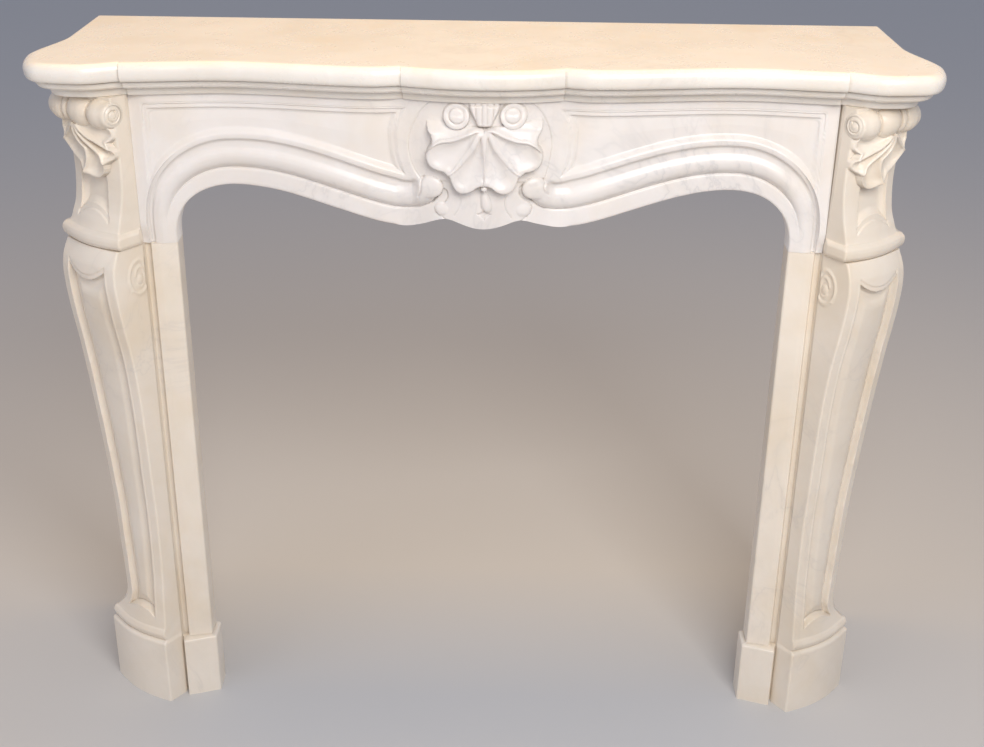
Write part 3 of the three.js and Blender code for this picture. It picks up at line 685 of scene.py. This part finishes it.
def block_relief(place, z, face):
    """The sunk panel with a line at its arched foot, under the hanging leaf."""
    share = place / face
    hump = np.maximum(0, 1 - ((share - 0.5) / 0.36) ** 2)
    side = np.minimum(place, face - place) - 20
    foot = z - (neck(0.085) + 20 * hump)
    head = neck(0.7) - z
    deep = np.minimum(np.minimum(side, foot), head)
    panel = -8.5 * curve([[0, 0], [0.7, 0.34], [3, 0.62], [6, 0.86], [9, 1.0]], deep)
    panel = panel - 1.9 * smooth((foot + 9) / 1.2) * smooth((1.2 - foot) / 1.2) * smooth((side + 3) / 2)
    leaf = fan_relief(LEAF_AT - place, LEAF_HINGE - z, LEAF)
    leaf = leaf - 3.5 * smooth((3 - place) / 12)
    return soft_max(panel, leaf, 1.2)


def block_parts(gap=lambda z: 0.0):
    levels = np.unique(np.concatenate([
        np.linspace(BLOCK_FOOT, neck(0.02), 40), np.linspace(neck(0.025), neck(0.3), 56),
        np.linspace(neck(0.305), neck(0.85), 110), np.linspace(neck(0.86), neck(1), 14),
    ]))
    rings = leg_rings(
        levels, block_shape, block_relief, lambda depth, z: np.zeros(len(depth)),
        across=120, along=22, gap=gap,
    )
    return [grid(rings, wrap=True, caps=True), scroll_drum(), scroll_disc(-1), scroll_disc(1)]


# Scroll row: bulges and flutes turned about one axis under the shelf, with a disc at each end
ROW_MIDDLE, ROW_AXIS = 48.0, UNDER_SHELF - 25
ROW_ENDS = {-1: 57.4, 1: 63.0}
BARREL_HALF, BARREL_RADIUS = 19, 24.4
ROW_RADIUS = {
    -1: [
        [19, 18.6], [20, 15.6], [21.5, 15.4], [23, 18.0], [27, 20.8], [34, 22.2], [41, 21.6], [49, 19.2],
        [ROW_ENDS[-1] - 2, 17.6], [ROW_ENDS[-1] - 0.5, 16.4], [ROW_ENDS[-1], 15.6],
    ],
    1: [
        [19, 19.0], [20, 16.6], [21, 16.2], [22, 19.4], [26, 20.8], [30, 19.6], [31, 16.8], [32, 16.4],
        [34, 19.0], [40, 21.6], [47, 21.8], [55, 19.6],
        [ROW_ENDS[1] - 2, 17.6], [ROW_ENDS[1] - 0.5, 16.4], [ROW_ENDS[1], 15.6],
    ],
}


def row_radius(place):
    along = abs(place)
    if along < BARREL_HALF:
        return BARREL_RADIUS - 5.6 * (along / BARREL_HALF) ** 2.4
    return float(curve(ROW_RADIUS[-1 if place < 0 else 1], along))


def scroll_drum():
    half, outer_half = ROW_ENDS[-1], ROW_ENDS[1]
    places = np.unique(np.concatenate([
        np.linspace(-half, outer_half, 90), -np.linspace(18, 25, 22), np.linspace(18, 34, 44),
        [-half + 0.4, -half + 0.8, -half + 1.4, outer_half - 1.4, outer_half - 0.8, outer_half - 0.4],
    ]))
    turns = np.linspace(-np.pi, np.pi, 81)[:-1]
    rings = []
    for place in places:
        radius = row_radius(float(place))
        centre = ROW_AXIS + 0.10 * (BARREL_RADIUS - radius)
        heights = np.minimum(UNDER_SHELF - 2 * JOINT, centre - radius * np.sin(turns))
        rings.append(canted(ROW_MIDDLE + place, radius * 1.03 * np.cos(turns), heights))
    return grid(np.array(rings), wrap=True, caps=True)


def scroll_disc(end):
    """The round disc at an end of the row, with an eye and one turn of a spiral groove."""
    steps = 96
    radii = np.linspace(0.02, 1, 34)
    r, a = np.meshgrid(radii * 15.4, np.linspace(0, 2 * np.pi, steps + 1)[:-1], indexing="ij")
    u, v = r * np.cos(a), r * np.sin(a)
    gap = np.hypot(u - 1.0, v + 0.5)
    eye = 3.2 * np.sqrt(clamp01(1 - (gap / 5.4) ** 2))
    swing = (np.arctan2(v, u * end) - 1.1) % (2 * np.pi)
    furrow = mix(6.6, 10.4, swing / (2 * np.pi))
    ring = 2.2 - 0.10 * (gap - 9) ** 2 * (gap > 9) - 1.9 * bell(gap - furrow, 1.5)
    rise = mix(np.maximum(np.maximum(ring, eye), -1.0), -1.0, smooth((radii[:, None] - 0.93) / 0.07))
    points, faces = grid(canted(ROW_MIDDLE + end * (ROW_ENDS[end] + rise), u, ROW_AXIS + 0.9 + v), wrap=True)
    return points, faces + [list(range(steps))]


# Frieze
def face_reach(x):
    """Reach of the frieze's ground from the wall: the nose's line, eased and set back."""
    along = np.minimum(np.abs(x), BREAK_X - 1)
    fade = smooth((np.abs(x) - FRIEZE_HALF + 33) / 33)
    spread = np.linspace(-18, 18, 13)
    eased = sum(nose_reach(np.minimum(along + shift, BREAK_X - 1)) for shift in spread) / len(spread)
    return eased - 38 - 6 - 7 * fade


MOULDING = [
    [0, -14], [0.02, -12.9], [0.05, -12.4], [0.27, -12], [0.305, -12.3], [0.33, -14.3], [0.345, -14.5],
    [0.365, -12], [0.40, -8], [0.45, -5], [0.52, -2.9], [0.58, -2.2], [0.64, -2.9], [0.70, -5.2],
    [0.745, -7.2], [0.80, -7.4], [0.86, -6.6], [0.895, -4.6], [0.915, -1.6], [0.93, -0.8], [0.97, -0.1],
    [1, 0],
]
LEG_MOULDING = [[0, -14], [0.04, -12.5], [0.5, -11], [0.79, -11.5], [0.84, -15], [0.95, -15], [1, -9]]
MOULDING_ROWS = np.unique(np.concatenate([
    np.linspace(0, 1, 46), np.linspace(0.01, 0.02, 2), [0.035, 0.29], np.linspace(0.305, 0.385, 9),
    np.linspace(0.905, 0.935, 4),
]))
PANEL_ROWS = 128

# Sunk steps of the panels' frame, by the distance inward from its line
FRAME_STEPS = [[0, 0], [0.8, 1.6], [2.0, 2.6], [6.5, 2.9], [7.4, 3.6], [8.6, 5.6], [12, 7]]

# How far the arch's lower edge stands above its even line, along the front
EDGE_LIFT = [
    [-420, 0], [-330, 0], [-293, 1.0], [-259, 1.7], [-225, 2.5], [-192, 3.6], [-170, 3.7], [-145, 2.9],
    [-122, 1.1], [-100, -0.5], [-82, -1.4], [-62, 0.8], [-41, 4.0], [-24, 3.4], [0, 2.0], [27, 2.0], [43, 2.2],
    [60, 0.9],
    [77, -1.0], [94, 0.0], [127, 2.3], [161, 4.2], [195, 4.5], [228, 4.0], [262, 3.3], [295, 2.6], [346, 1.9],
    [400, 1.6], [436, 0],
]


def arch_stations():
    """Opening edge, outer ridge, panel end and share of leg of each strip, from the left leg to the right."""
    top = UNDER_SHELF - JOINT
    spring, crown, dip = LEG_HEIGHT + 10, LEG_HEIGHT + 87, LEG_HEIGHT + 34
    cusp, tip = LEG_HEIGHT + 49, LEG_HEIGHT + 35
    crown_x = HALF_OPENING - 89
    runs = [
        ([[-HALF_OPENING, z] for z in np.linspace(BLOCK_FOOT, spring, 4)], 3, 1, 39.0),
        ([[-HALF_OPENING, spring], [-HALF_OPENING, spring + 52], [-crown_x - 51, crown], [-crown_x, crown]],
         44, 1, lambda t: mix(39, 77, smooth(t ** 0.85))),
        ([[-crown_x, crown], [-crown_x + 89, crown], [-115 - 58, dip], [-115, dip]],
         54, 1, lambda t: 77 + 7 * np.sin(np.pi * t * 0.9)),
        ([[-115, dip], [-95, dip], [-57 - 19, cusp], [-57, cusp]], 50, 0, lambda t: mix(79, 62, t)),
        ([[-57, cusp], [-44, cusp], [-26, tip], [0, tip]], 60, 0, lambda t: 62 - 2 * t),
    ]
    found = []
    for k, (ends, steps, lean, width) in enumerate(runs):
        t = np.linspace(0, 1, steps + 1)[0 if k == 0 else 1:]
        edge, slope = bezier(ends, t)
        slope = slope / np.maximum(1e-9, np.hypot(slope[:, 0], slope[:, 1]))[:, None]
        wide = width(t) if callable(width) else np.full(len(t), width)
        ridge = edge + np.stack([
            -lean * slope[:, 1] * wide, mix(np.ones(len(t)), slope[:, 0], lean) * wide,
        ], 1)
        leg = np.zeros(len(t))
        outer = np.stack([ridge[:, 0], np.full(len(t), top)], 1)
        if k == 0:
            leg[:] = 1
            outer = np.stack([np.full(len(t), -FRIEZE_HALF), edge[:, 1]], 1)
        if k == 1:
            leg = 1 - smooth(t * 1.4)
            climb = smooth(t * 1.25) ** 1.15 / smooth(0.625) ** 1.15
            low = np.stack([np.full(len(t), -FRIEZE_HALF), mix(spring, top, climb)], 1)
            across = mix(-FRIEZE_HALF, ridge[:, 0], smooth(t - 0.5) / smooth(0.5))
            high = np.stack([across, np.full(len(t), top)], 1)
            outer = np.where((t <= 0.5)[:, None], low, high)
        found.append(np.concatenate([edge, ridge, outer, leg[:, None]], 1))
    half = np.concatenate(found)
    flipped = half[:-1][::-1] * [-1, 1, -1, 1, -1, 1, 1]
    both = np.concatenate([half, flipped])
    both[:, 1] += curve(EDGE_LIFT, both[:, 0])
    return both


HINGE = UNDER_SHELF - 37
TIP = LEG_HEIGHT + 35
AXIS = 2.4

# Lines of the middle ornament, left and right, as distance from the middle and height above the legs
RINGS = [
    [(56, 230), (73.7, 220.6), (84.2, 210.2), (94, 194.3), (101.3, 177.7), (104.2, 159.5), (102.7, 141.6),
     (96.6, 124.1), (85.7, 107.9)],
    [(52, 230), (70, 220), (81.7, 206.6), (89.9, 190.3), (94.7, 174), (95.6, 157.9), (94, 142), (90, 125),
     (86, 110)],
]
ROLL_ENDS = [
    [(61, 110), (60, 98), (63.1, 85.2), (70.3, 75.3), (84.7, 67.5), (106.5, 62.4), (132, 63.6)],
    [(60, 110), (61.7, 96.4), (66.4, 83.3), (78.1, 71.5), (97.9, 63.6), (132, 63.6)],
]
# Half width of the pendant plate by the height above the legs, left and right
PLATES = [
    [[45, 46], [49, 50], [54, 58], [58, 64.5], [64.6, 66.5], [71, 62.5], [76, 54], [85, 48.7], [94, 50.5],
     [101, 58], [110, 62]],
    [[45, 50], [49, 54], [54, 61], [60, 68], [69, 70], [76, 66], [83, 58], [91, 52], [99, 52], [110, 60]],
]
BITES = [
    [(83, 114), (86.5, 107), (87.2, 99), (88, 92), (91.5, 84.5)],
    [(85, 113), (88, 106.6), (86.6, 100), (88.5, 94), (94, 89)],
]
# Curved cuts on the plate, with their depths
PLATE_CUTS = [
    ([(35, 95), (31.5, 80), (33.5, 67), (41, 55)], 1.3),
    ([(-33, 93), (-31, 80), (-34, 67), (-40, 57)], 0.9),
]
ROLL_END_RELIEF = [
    [0, -13], [1.0, -11], [4, -5.5], [9, -0.4], [15, 2.4], [24, 3.6], [36, 3.4], [50, 1.8], [64, 0],
]


def cartouche(x, z, ground):
    """The middle ornament laid over the frieze's ground relief."""
    left = x <= AXIS
    away = np.abs(x)
    across = x - AXIS
    above, down = z - LEG_HEIGHT, HINGE - z

    def per_side(measure):
        return np.where(left, measure(0), measure(1))

    inside = per_side(lambda k: -signed_distance(away, above, smooth_points(RINGS[k])))
    roll = per_side(lambda k: signed_distance(away, above, smooth_points(ROLL_ENDS[k])))
    plate = per_side(lambda k: curve(PLATES[k], above)) - away

    # the roll of the arch curls up and swells into the ornament
    arch_roll = curve(MOULDING, 0.345 + clamp01(roll / 84))
    profile = mix(arch_roll, curve(ROLL_END_RELIEF, roll), smooth((102 - away) / 16))
    band = mix(-12.3, -7.5, smooth((92 - away) / 34)) - 1.6 * bell(roll, 1.6)
    swell = np.where(roll > 0, profile, band)
    below = smooth((TIP + 92 - z) / 8)
    relief = mix(ground, swell, below * smooth((128 - away) / 10))
    leaves = np.maximum(smooth((roll - 34) / 12) * smooth((away - 78) / 26), smooth((z - TIP - 86) / 8))
    relief = mix(relief, ground, leaves)

    # ground inside the ring
    dish = np.where(inside > 0, -2.0 * smooth(inside / 2.5), 0)
    high = smooth((z - TIP - 66) / 10)
    relief = mix(relief, np.where(inside > 0, dish, ground), high)
    relief = relief - 2.2 * bell(inside, 1.0) * smooth((z - TIP - 70) / 6)

    # pendant plate with its side lobes
    face = curve([[TIP - 2, -10.5], [TIP + 3, -9.2], [TIP + 24, -6.8], [TIP + 60, -4.4]], z)
    on_plate = smooth(plate / 1.5 + 0.4) * smooth((TIP + 76 - z) / 6)
    relief = np.where(plate > 0, mix(relief, face, on_plate), relief)
    relief = relief - 1.5 * bell(plate, 1.2) * smooth((TIP + 62 - z) / 5)
    lobe = np.hypot((away - 58) / 1.05, z - TIP - 31)
    relief = soft_max(relief, dome(lobe, 9.5, 3.4) - 7.6, 1.6)
    for cut, depth in PLATE_CUTS:
        relief = relief - depth * bell(line_distance(x, above, smooth_points(cut)), 1.1)

    # swelling with pointed hooks where the outer fillet ends
    knob = np.hypot((away - 74) / 1.15, z - TIP - 64)
    relief = soft_max(relief, dome(knob, 16, 6.0) - 1.4, 5.0)
    bite = per_side(lambda k: signed_distance(away, above, smooth_points(BITES[k])))
    relief = relief - 2.2 * bell(bite, 1.2)

    # volutes
    centre = np.where(left, -36.2, 41.3)
    height = np.where(left, HINGE + 17.8, HINGE + 19.2)
    out, up = x - centre, z - height
    eye = np.hypot(out, up)
    turn = np.arctan2(up, out * np.where(left, 1, -1))
    band = 17.4 + 1.5 * np.sin(turn - 2.6)
    upper = smooth(0.5 + 0.9 * np.sin(turn))
    ring = mix(6.0, 3.0, upper) + 1.2 * (1 - ((eye - 14.6) / 4.6) ** 2)
    fade = 0.25 + 0.75 * smooth(0.45 - 0.8 * np.cos(turn - 0.9))
    groove = 1.4 * bell(eye - 10.8, 1.2) * fade
    disc = mix(6.6, 5.0, upper) + 1.7 * np.sqrt(clamp01(1 - (eye / 10.6) ** 2))
    volute = mix(disc, ring, smooth((eye - 9.8) / 1.6)) - groove
    volute = mix(volute, OUTSIDE, smooth((eye - band) / mix(3.4, 8.0, upper)))

    # reeded stem between them, spreading towards the shelf
    half = mix(5.5, 19.0, smooth((z - HINGE + 6) / 42))
    reed = np.abs(across)
    outer_cut = mix(11, 13, clamp01((z - HINGE) / 34))
    cuts = (bell(reed - 3.4, 1.0) + bell(reed - outer_cut, 1.1)) * smooth((z - HINGE - 1) / 9)
    stem = mix(7.6, 8.6, smooth((z - HINGE) / 24)) + 1.2 * (1 - (across / half) ** 2) - 2.0 * cuts
    stem = mix(stem, -30, smooth((reed - half) / 9.0))
    stem = mix(-30, stem, smooth((z - HINGE + 9) / 16))
    hollow = smooth((z - UNDER_SHELF + 5.5) / 3) * smooth((reed - 3) / 2) * smooth((27 - reed) / 2)
    stem, volute = stem - 5 * hollow, volute - 5 * hollow

    shell = fan_relief(across, down, SHELL)
    top = np.where(left, HINGE + 6.5, HINGE + 13)
    shell = np.where(shell > -2, mix(shell, -2, smooth((z - top + 14) / 18)), shell)
    relief = soft_max(relief, shell, 1.0)
    relief = soft_max(relief, volute, 0.9)
    relief = soft_max(relief, stem, 0.9)

    # pearl, drop and star
    pearl = np.hypot(across, z - TIP - 67.5)
    relief = soft_max(relief, 5.5 + dome(pearl, 5.0, 4.8), 0.4)
    lean = across - 1.5 - 0.16 * (TIP + 50 - z)
    drop_z = (z - TIP - 46) / 17.5
    drop_x = lean / (7.0 * (1 - 0.35 * clamp01(drop_z)) + 1.8 * clamp01(-drop_z))
    drop = 1 - drop_x ** 2 - np.abs(drop_z) ** 2.4
    relief = soft_max(relief, np.where(drop > 0, -5.8 + 5.0 * np.sqrt(clamp01(drop)), OUTSIDE), 0.7)
    star_z = np.where(z > TIP + 25, (z - TIP - 25) / 8, (TIP + 25 - z) / 12)
    star = (np.abs(across) / 12.5) ** 0.75 + star_z ** 0.75
    return relief - 2.4 * smooth((1 - star) / 0.3)


def frieze_parts():
    """One ring for each station: the back, the arch's moulding from the opening out, then the panel."""
    stations = arch_stations()
    edge, ridge, outer = stations[:, None, 0:2], stations[:, None, 2:4], stations[:, None, 4:6]
    leg = stations[:, None, 6]
    share = MOULDING_ROWS[None, :, None]
    spot = mix(edge, ridge, share)
    x, z = spot[..., 0], spot[..., 1]
    curl = smooth((np.abs(x) - 62) / 40)
    moulding = curve(MOULDING, MOULDING_ROWS)[None, :]
    plain = np.where(MOULDING_ROWS < 0.3, moulding, mix(-12, 0, smooth((MOULDING_ROWS - 0.3) / 0.5)))
    arch = mix(plain, moulding, curl)
    low = mix(arch, ramp(LEG_MOULDING, MOULDING_ROWS)[None, :], leg)

    span = outer[:, 0] - ridge[:, 0]
    run = np.hypot(span[:, 0], span[:, 1])[:, None]
    top_line, side_line = UNDER_SHELF - 14, FRIEZE_HALF - 19
    gap_x = np.abs(outer[:, 0, :1]) - np.abs(ridge[:, 0, :1])
    meets_top = (top_line - ridge[:, 0, 1:]) / np.maximum(outer[:, 0, 1:] - ridge[:, 0, 1:], 1.0)
    meets_side = np.where(gap_x > 1, (side_line - np.abs(ridge[:, 0, :1])) / np.maximum(gap_x, 1.0), 2.0)
    frame_wide = np.clip(run * (1 - np.minimum(meets_top, meets_side)), 0.02 * run, 0.4 * run)
    room = smooth((run - 34) / 30)
    t = np.linspace(0, 1, PANEL_ROWS + 1)[1:]
    middle_strip = 1 - smooth((np.abs(edge[:, :, 0]) - 118) / 16)
    knots = np.concatenate([
        np.zeros_like(run), np.minimum(11.0, 0.25 * run), run - frame_wide - np.minimum(12.0, 0.25 * run),
        run - frame_wide + 1.5, run,
    ], 1)
    rows_at = np.array([0, 0.16, 0.60, 0.93, 1.0])
    along = np.array([np.interp(t, rows_at, k) for k in knots])
    along = mix(along, run * t[None, :], middle_strip)
    part = (along / run)[..., None]
    upper = mix(ridge, outer, part)
    px, pz = upper[..., 0], upper[..., 1]
    inward = np.minimum(top_line - pz, side_line - np.abs(px))
    border = curve(FRAME_STEPS, inward)
    bevel = 7 * smooth(along / 11)
    field = 7 - 1.0 * smooth((np.minimum(along, inward) - 11) / 30)
    panel_end = curve([
        [86, 93], [101, 101], [114, 109], [131, 117], [151, 121.5], [176, 122.5], [191, 119.5], [201, 115],
        [210, 109], [224, 99],
    ], pz - LEG_HEIGHT)
    ending = np.abs(px) - panel_end
    end_step = curve(FRAME_STEPS, ending)
    sunk = np.minimum(np.minimum(border, bevel), np.minimum(field, end_step)) * room
    lines = 0.8 * bell(inward + 0.7, 0.8) * smooth((ending + 1) / 2)
    lines = lines + bell(ending + 0.7, 0.9) * smooth(inward + 1)
    leg_end = 8 * leg * smooth((BLOCK_FOOT + 34 - pz) / 34)
    high = -sunk - lines * room * smooth((along - 6) / 6) - leg_end

    all_x = np.concatenate([x, px], 1)
    all_z = np.concatenate([z, pz], 1)
    relief = np.concatenate([low, high], 1)
    near = np.abs(all_x) < 130
    carved = cartouche(all_x[near], all_z[near], relief[near])
    relief[near] = mix(relief[near], carved, smooth((130 - np.abs(all_x[near])) / 5))
    front = np.stack([all_x, from_wall(face_reach(all_x) + relief), all_z], -1)
    rings = front[:, [0, *range(front.shape[1]), -1]]
    rings[:, [0, -1], 1] = from_wall(SLAB_BACK)
    return [grid(rings, wrap=True, caps=True)]


# Inner jamb
def jamb_parts():
    face = SLAB_BACK + 42
    outer, inner = -FRIEZE_HALF, -HALF_OPENING
    lip = inner + 8
    plinth = [
        (outer, face - 1), (outer + 3, face + 1), (outer + 6, face + 16), (outer + 22, face + 11),
        (inner - 8, face + 4), (lip - 2, face), (lip, face - 2), (lip, face - 23), (lip, SLAB_BACK),
        (outer, SLAB_BACK),
    ]
    stem = [
        (outer, face + 1), (outer + 1.2, face - 9), (outer + 0.18 * JAMB_WIDTH, face - 9.5),
        (outer + 0.24 * JAMB_WIDTH, face), (outer + 0.45 * JAMB_WIDTH, face - 1.5), (inner - 2, face - 7),
        (inner, face - 9), (inner, face - 25), (inner, SLAB_BACK), (outer, SLAB_BACK),
    ]

    def rounded(outline, z, inset, radius):
        points = np.array(outline, float)
        move = np.ones(len(points)) * inset
        move[[0, 1, -1]] = 0
        points[4:9, 0] -= move[4:9]
        points[1:7, 1] -= move[1:7]
        out = []
        for i in range(len(points)):
            before, here, after = points[i - 1], points[i], points[(i + 1) % len(points)]
            to_before, to_after = before - here, after - here
            cut = min(radius, 0.45 * np.hypot(*to_before), 0.45 * np.hypot(*to_after))
            a = here + to_before / np.hypot(*to_before) * cut
            b = here + to_after / np.hypot(*to_after) * cut
            out += [bend(a, here, b, t) for t in (0, 0.25, 0.5, 0.75, 1)]
        return level_ring(np.array(out), z)

    top = JAMB_PLINTH_HEIGHT
    rings = [rounded(plinth, z, 0, 1.8) for z in np.concatenate([[0], np.linspace(4, top - 4, 12)])]
    for a in np.linspace(0, np.pi / 2, 6):
        rings.append(rounded(plinth, top - 3.2 + 3.2 * math.sin(a), 2.6 * (1 - math.cos(a)), 1.8))
    rings.append(rounded(stem, top + 0.3, 0, 1.2))
    rings += [rounded(stem, z, 0, 1.2) for z in np.linspace(top + 3, LEG_HEIGHT, 60)]
    return [grid(np.array(rings), wrap=True, caps=True)]


# Side return: a plain slab with eased arrises
def return_parts():
    outer, inner = -RETURN_OUTER, -(RETURN_OUTER - RETURN_THICKNESS)
    height = UNDER_SHELF - JOINT
    ease = 1.5
    corners = [(outer, 0.0), (outer, RETURN_REACH), (inner, RETURN_REACH), (inner, 0.0)]

    def ring(z, inset):
        out = []
        for i, here in enumerate(np.array(corners)):
            before, after = np.array(corners[i - 1]), np.array(corners[(i + 1) % 4])
            a = here + (before - here) / np.hypot(*(before - here)) * ease
            b = here + (after - here) / np.hypot(*(after - here)) * ease
            out += [bend(a, here, b, t) for t in (0, 0.33, 0.67, 1)]
        centre = np.array([(outer + inner) / 2, RETURN_REACH / 2])
        half = np.array([RETURN_THICKNESS / 2, RETURN_REACH / 2])
        return level_ring(centre + (np.array(out) - centre) * (half - inset) / half, z)

    levels = [(0, 1.0), (0.6, 0.3), (1.5, 0)] + [(z, 0) for z in np.linspace(20, height - 20, 24)]
    levels += [(height - 1.0, 0), (height, 0.6)]
    return [grid(np.array([ring(z, inset) for z, inset in levels]), wrap=True, caps=True)]


piece("shelf_stone", shelf_parts(), shelf_marble, "shelf", sharp=42)
piece("frieze_stone", frieze_parts(), carved_marble, "frieze", sharp=60)
# the right corner block stands a little away from the frieze, more at its top
open_block = block_parts(lambda z: ramp([[BLOCK_FOOT + TORUS, 0.4], [UNDER_SHELF, 2.6]], z))
side_parts = {
    "corner_block": block_parts(),
    "console_leg": console_parts(),
    "inner_jamb": jamb_parts(),
    "side_return": return_parts(),
}
for stone, parts in side_parts.items():
    for side, mirror in (("left", False), ("right", True)):
        shape = open_block if mirror and stone == "corner_block" else parts
        piece(f"{stone}_{side}_stone", shape, leg_marble, f"{stone}_{side}", mirror)


# Stage: a plain pale floor, soft lights and the camera
def stage_floor():
    mesh = bpy.data.meshes.new("floor")
    reach = 12.0
    corners = [(-reach, -reach, 0), (reach, -reach, 0), (reach, reach, 0), (-reach, reach, 0)]
    mesh.from_pydata(corners, [], [(0, 1, 2, 3)])
    floor = bpy.data.objects.new("floor", mesh)
    bpy.context.scene.collection.objects.link(floor)
    mat = bpy.data.materials.new("floor_paint")
    mat.use_nodes = True
    shader = mat.node_tree.nodes["Principled BSDF"]
    shader.inputs["Base Color"].default_value = (0.56, 0.55, 0.54, 1)
    shader.inputs["Roughness"].default_value = 0.9
    mesh.materials.append(mat)


def area_light(name, place, target, size, power, colour):
    data = bpy.data.lights.new(name, "AREA")
    data.shape = "RECTANGLE"
    data.size, data.size_y = size
    data.energy = power
    data.color = colour
    lamp = bpy.data.objects.new(name, data)
    lamp.location = place
    lamp.rotation_mode = "QUATERNION"
    lamp.rotation_quaternion = (Vector(target) - Vector(place)).to_track_quat("-Z", "Y")
    bpy.context.scene.collection.objects.link(lamp)


stage_floor()
area_light("key", (0.6, -2.05, 2.25), (0, 0, 0.78), (1.4, 1.1), 54, (1.0, 0.965, 0.925))
area_light("fill", (-2.6, -2.2, 1.3), (0, 0, 0.6), (2.4, 2.2), 16, (1.0, 0.94, 0.90))
area_light("top", (0, 0.3, 2.9), (0, 0.1, 1.0), (2.4, 0.7), 30, (1.0, 0.60, 0.10))

world = bpy.data.worlds.new("room")
world.use_nodes = True
sky = world.node_tree.nodes["Background"]
sky.inputs["Color"].default_value = (0.75, 0.81, 1.0, 1)
sky.inputs["Strength"].default_value = 0.46
bpy.context.scene.world = world
bpy.context.scene.view_settings.view_transform = "Standard"

# Camera at the photo's viewing angle: focal length and width in the photo's pixels, angles in radians
PHOTO_WIDTH, FOCAL_PIXELS, SENSOR = 984, 1407.52, 36.0
TILT, YAW, ROLL = 0.44172, 0.00902, 0.01224
CAMERA_SIDE, CAMERA_REACH, CAMERA_HEIGHT = 0.03392, 2193.59, 1.51636

data = bpy.data.cameras.new("camera")
data.sensor_width = SENSOR
data.lens = FOCAL_PIXELS / PHOTO_WIDTH * SENSOR
data.clip_start, data.clip_end = 0.05, 60
camera = bpy.data.objects.new("camera", data)
level = Vector((math.cos(YAW), math.sin(YAW), 0))
steep = Vector((math.sin(YAW) * math.sin(TILT), -math.cos(YAW) * math.sin(TILT), -math.cos(TILT)))
ahead = Vector((-math.sin(YAW) * math.cos(TILT), math.cos(YAW) * math.cos(TILT), -math.sin(TILT)))
right = level * math.cos(ROLL) - steep * math.sin(ROLL)
down = level * math.sin(ROLL) + steep * math.cos(ROLL)
facing = Matrix((right, -down, -ahead)).transposed().to_4x4()
place = Matrix.Translation((CAMERA_SIDE, from_wall(CAMERA_REACH) * MM, CAMERA_HEIGHT))
camera.matrix_world = place @ facing
bpy.context.scene.collection.objects.link(camera)
bpy.context.scene.camera = camera

bpy.context.view_layer.update()
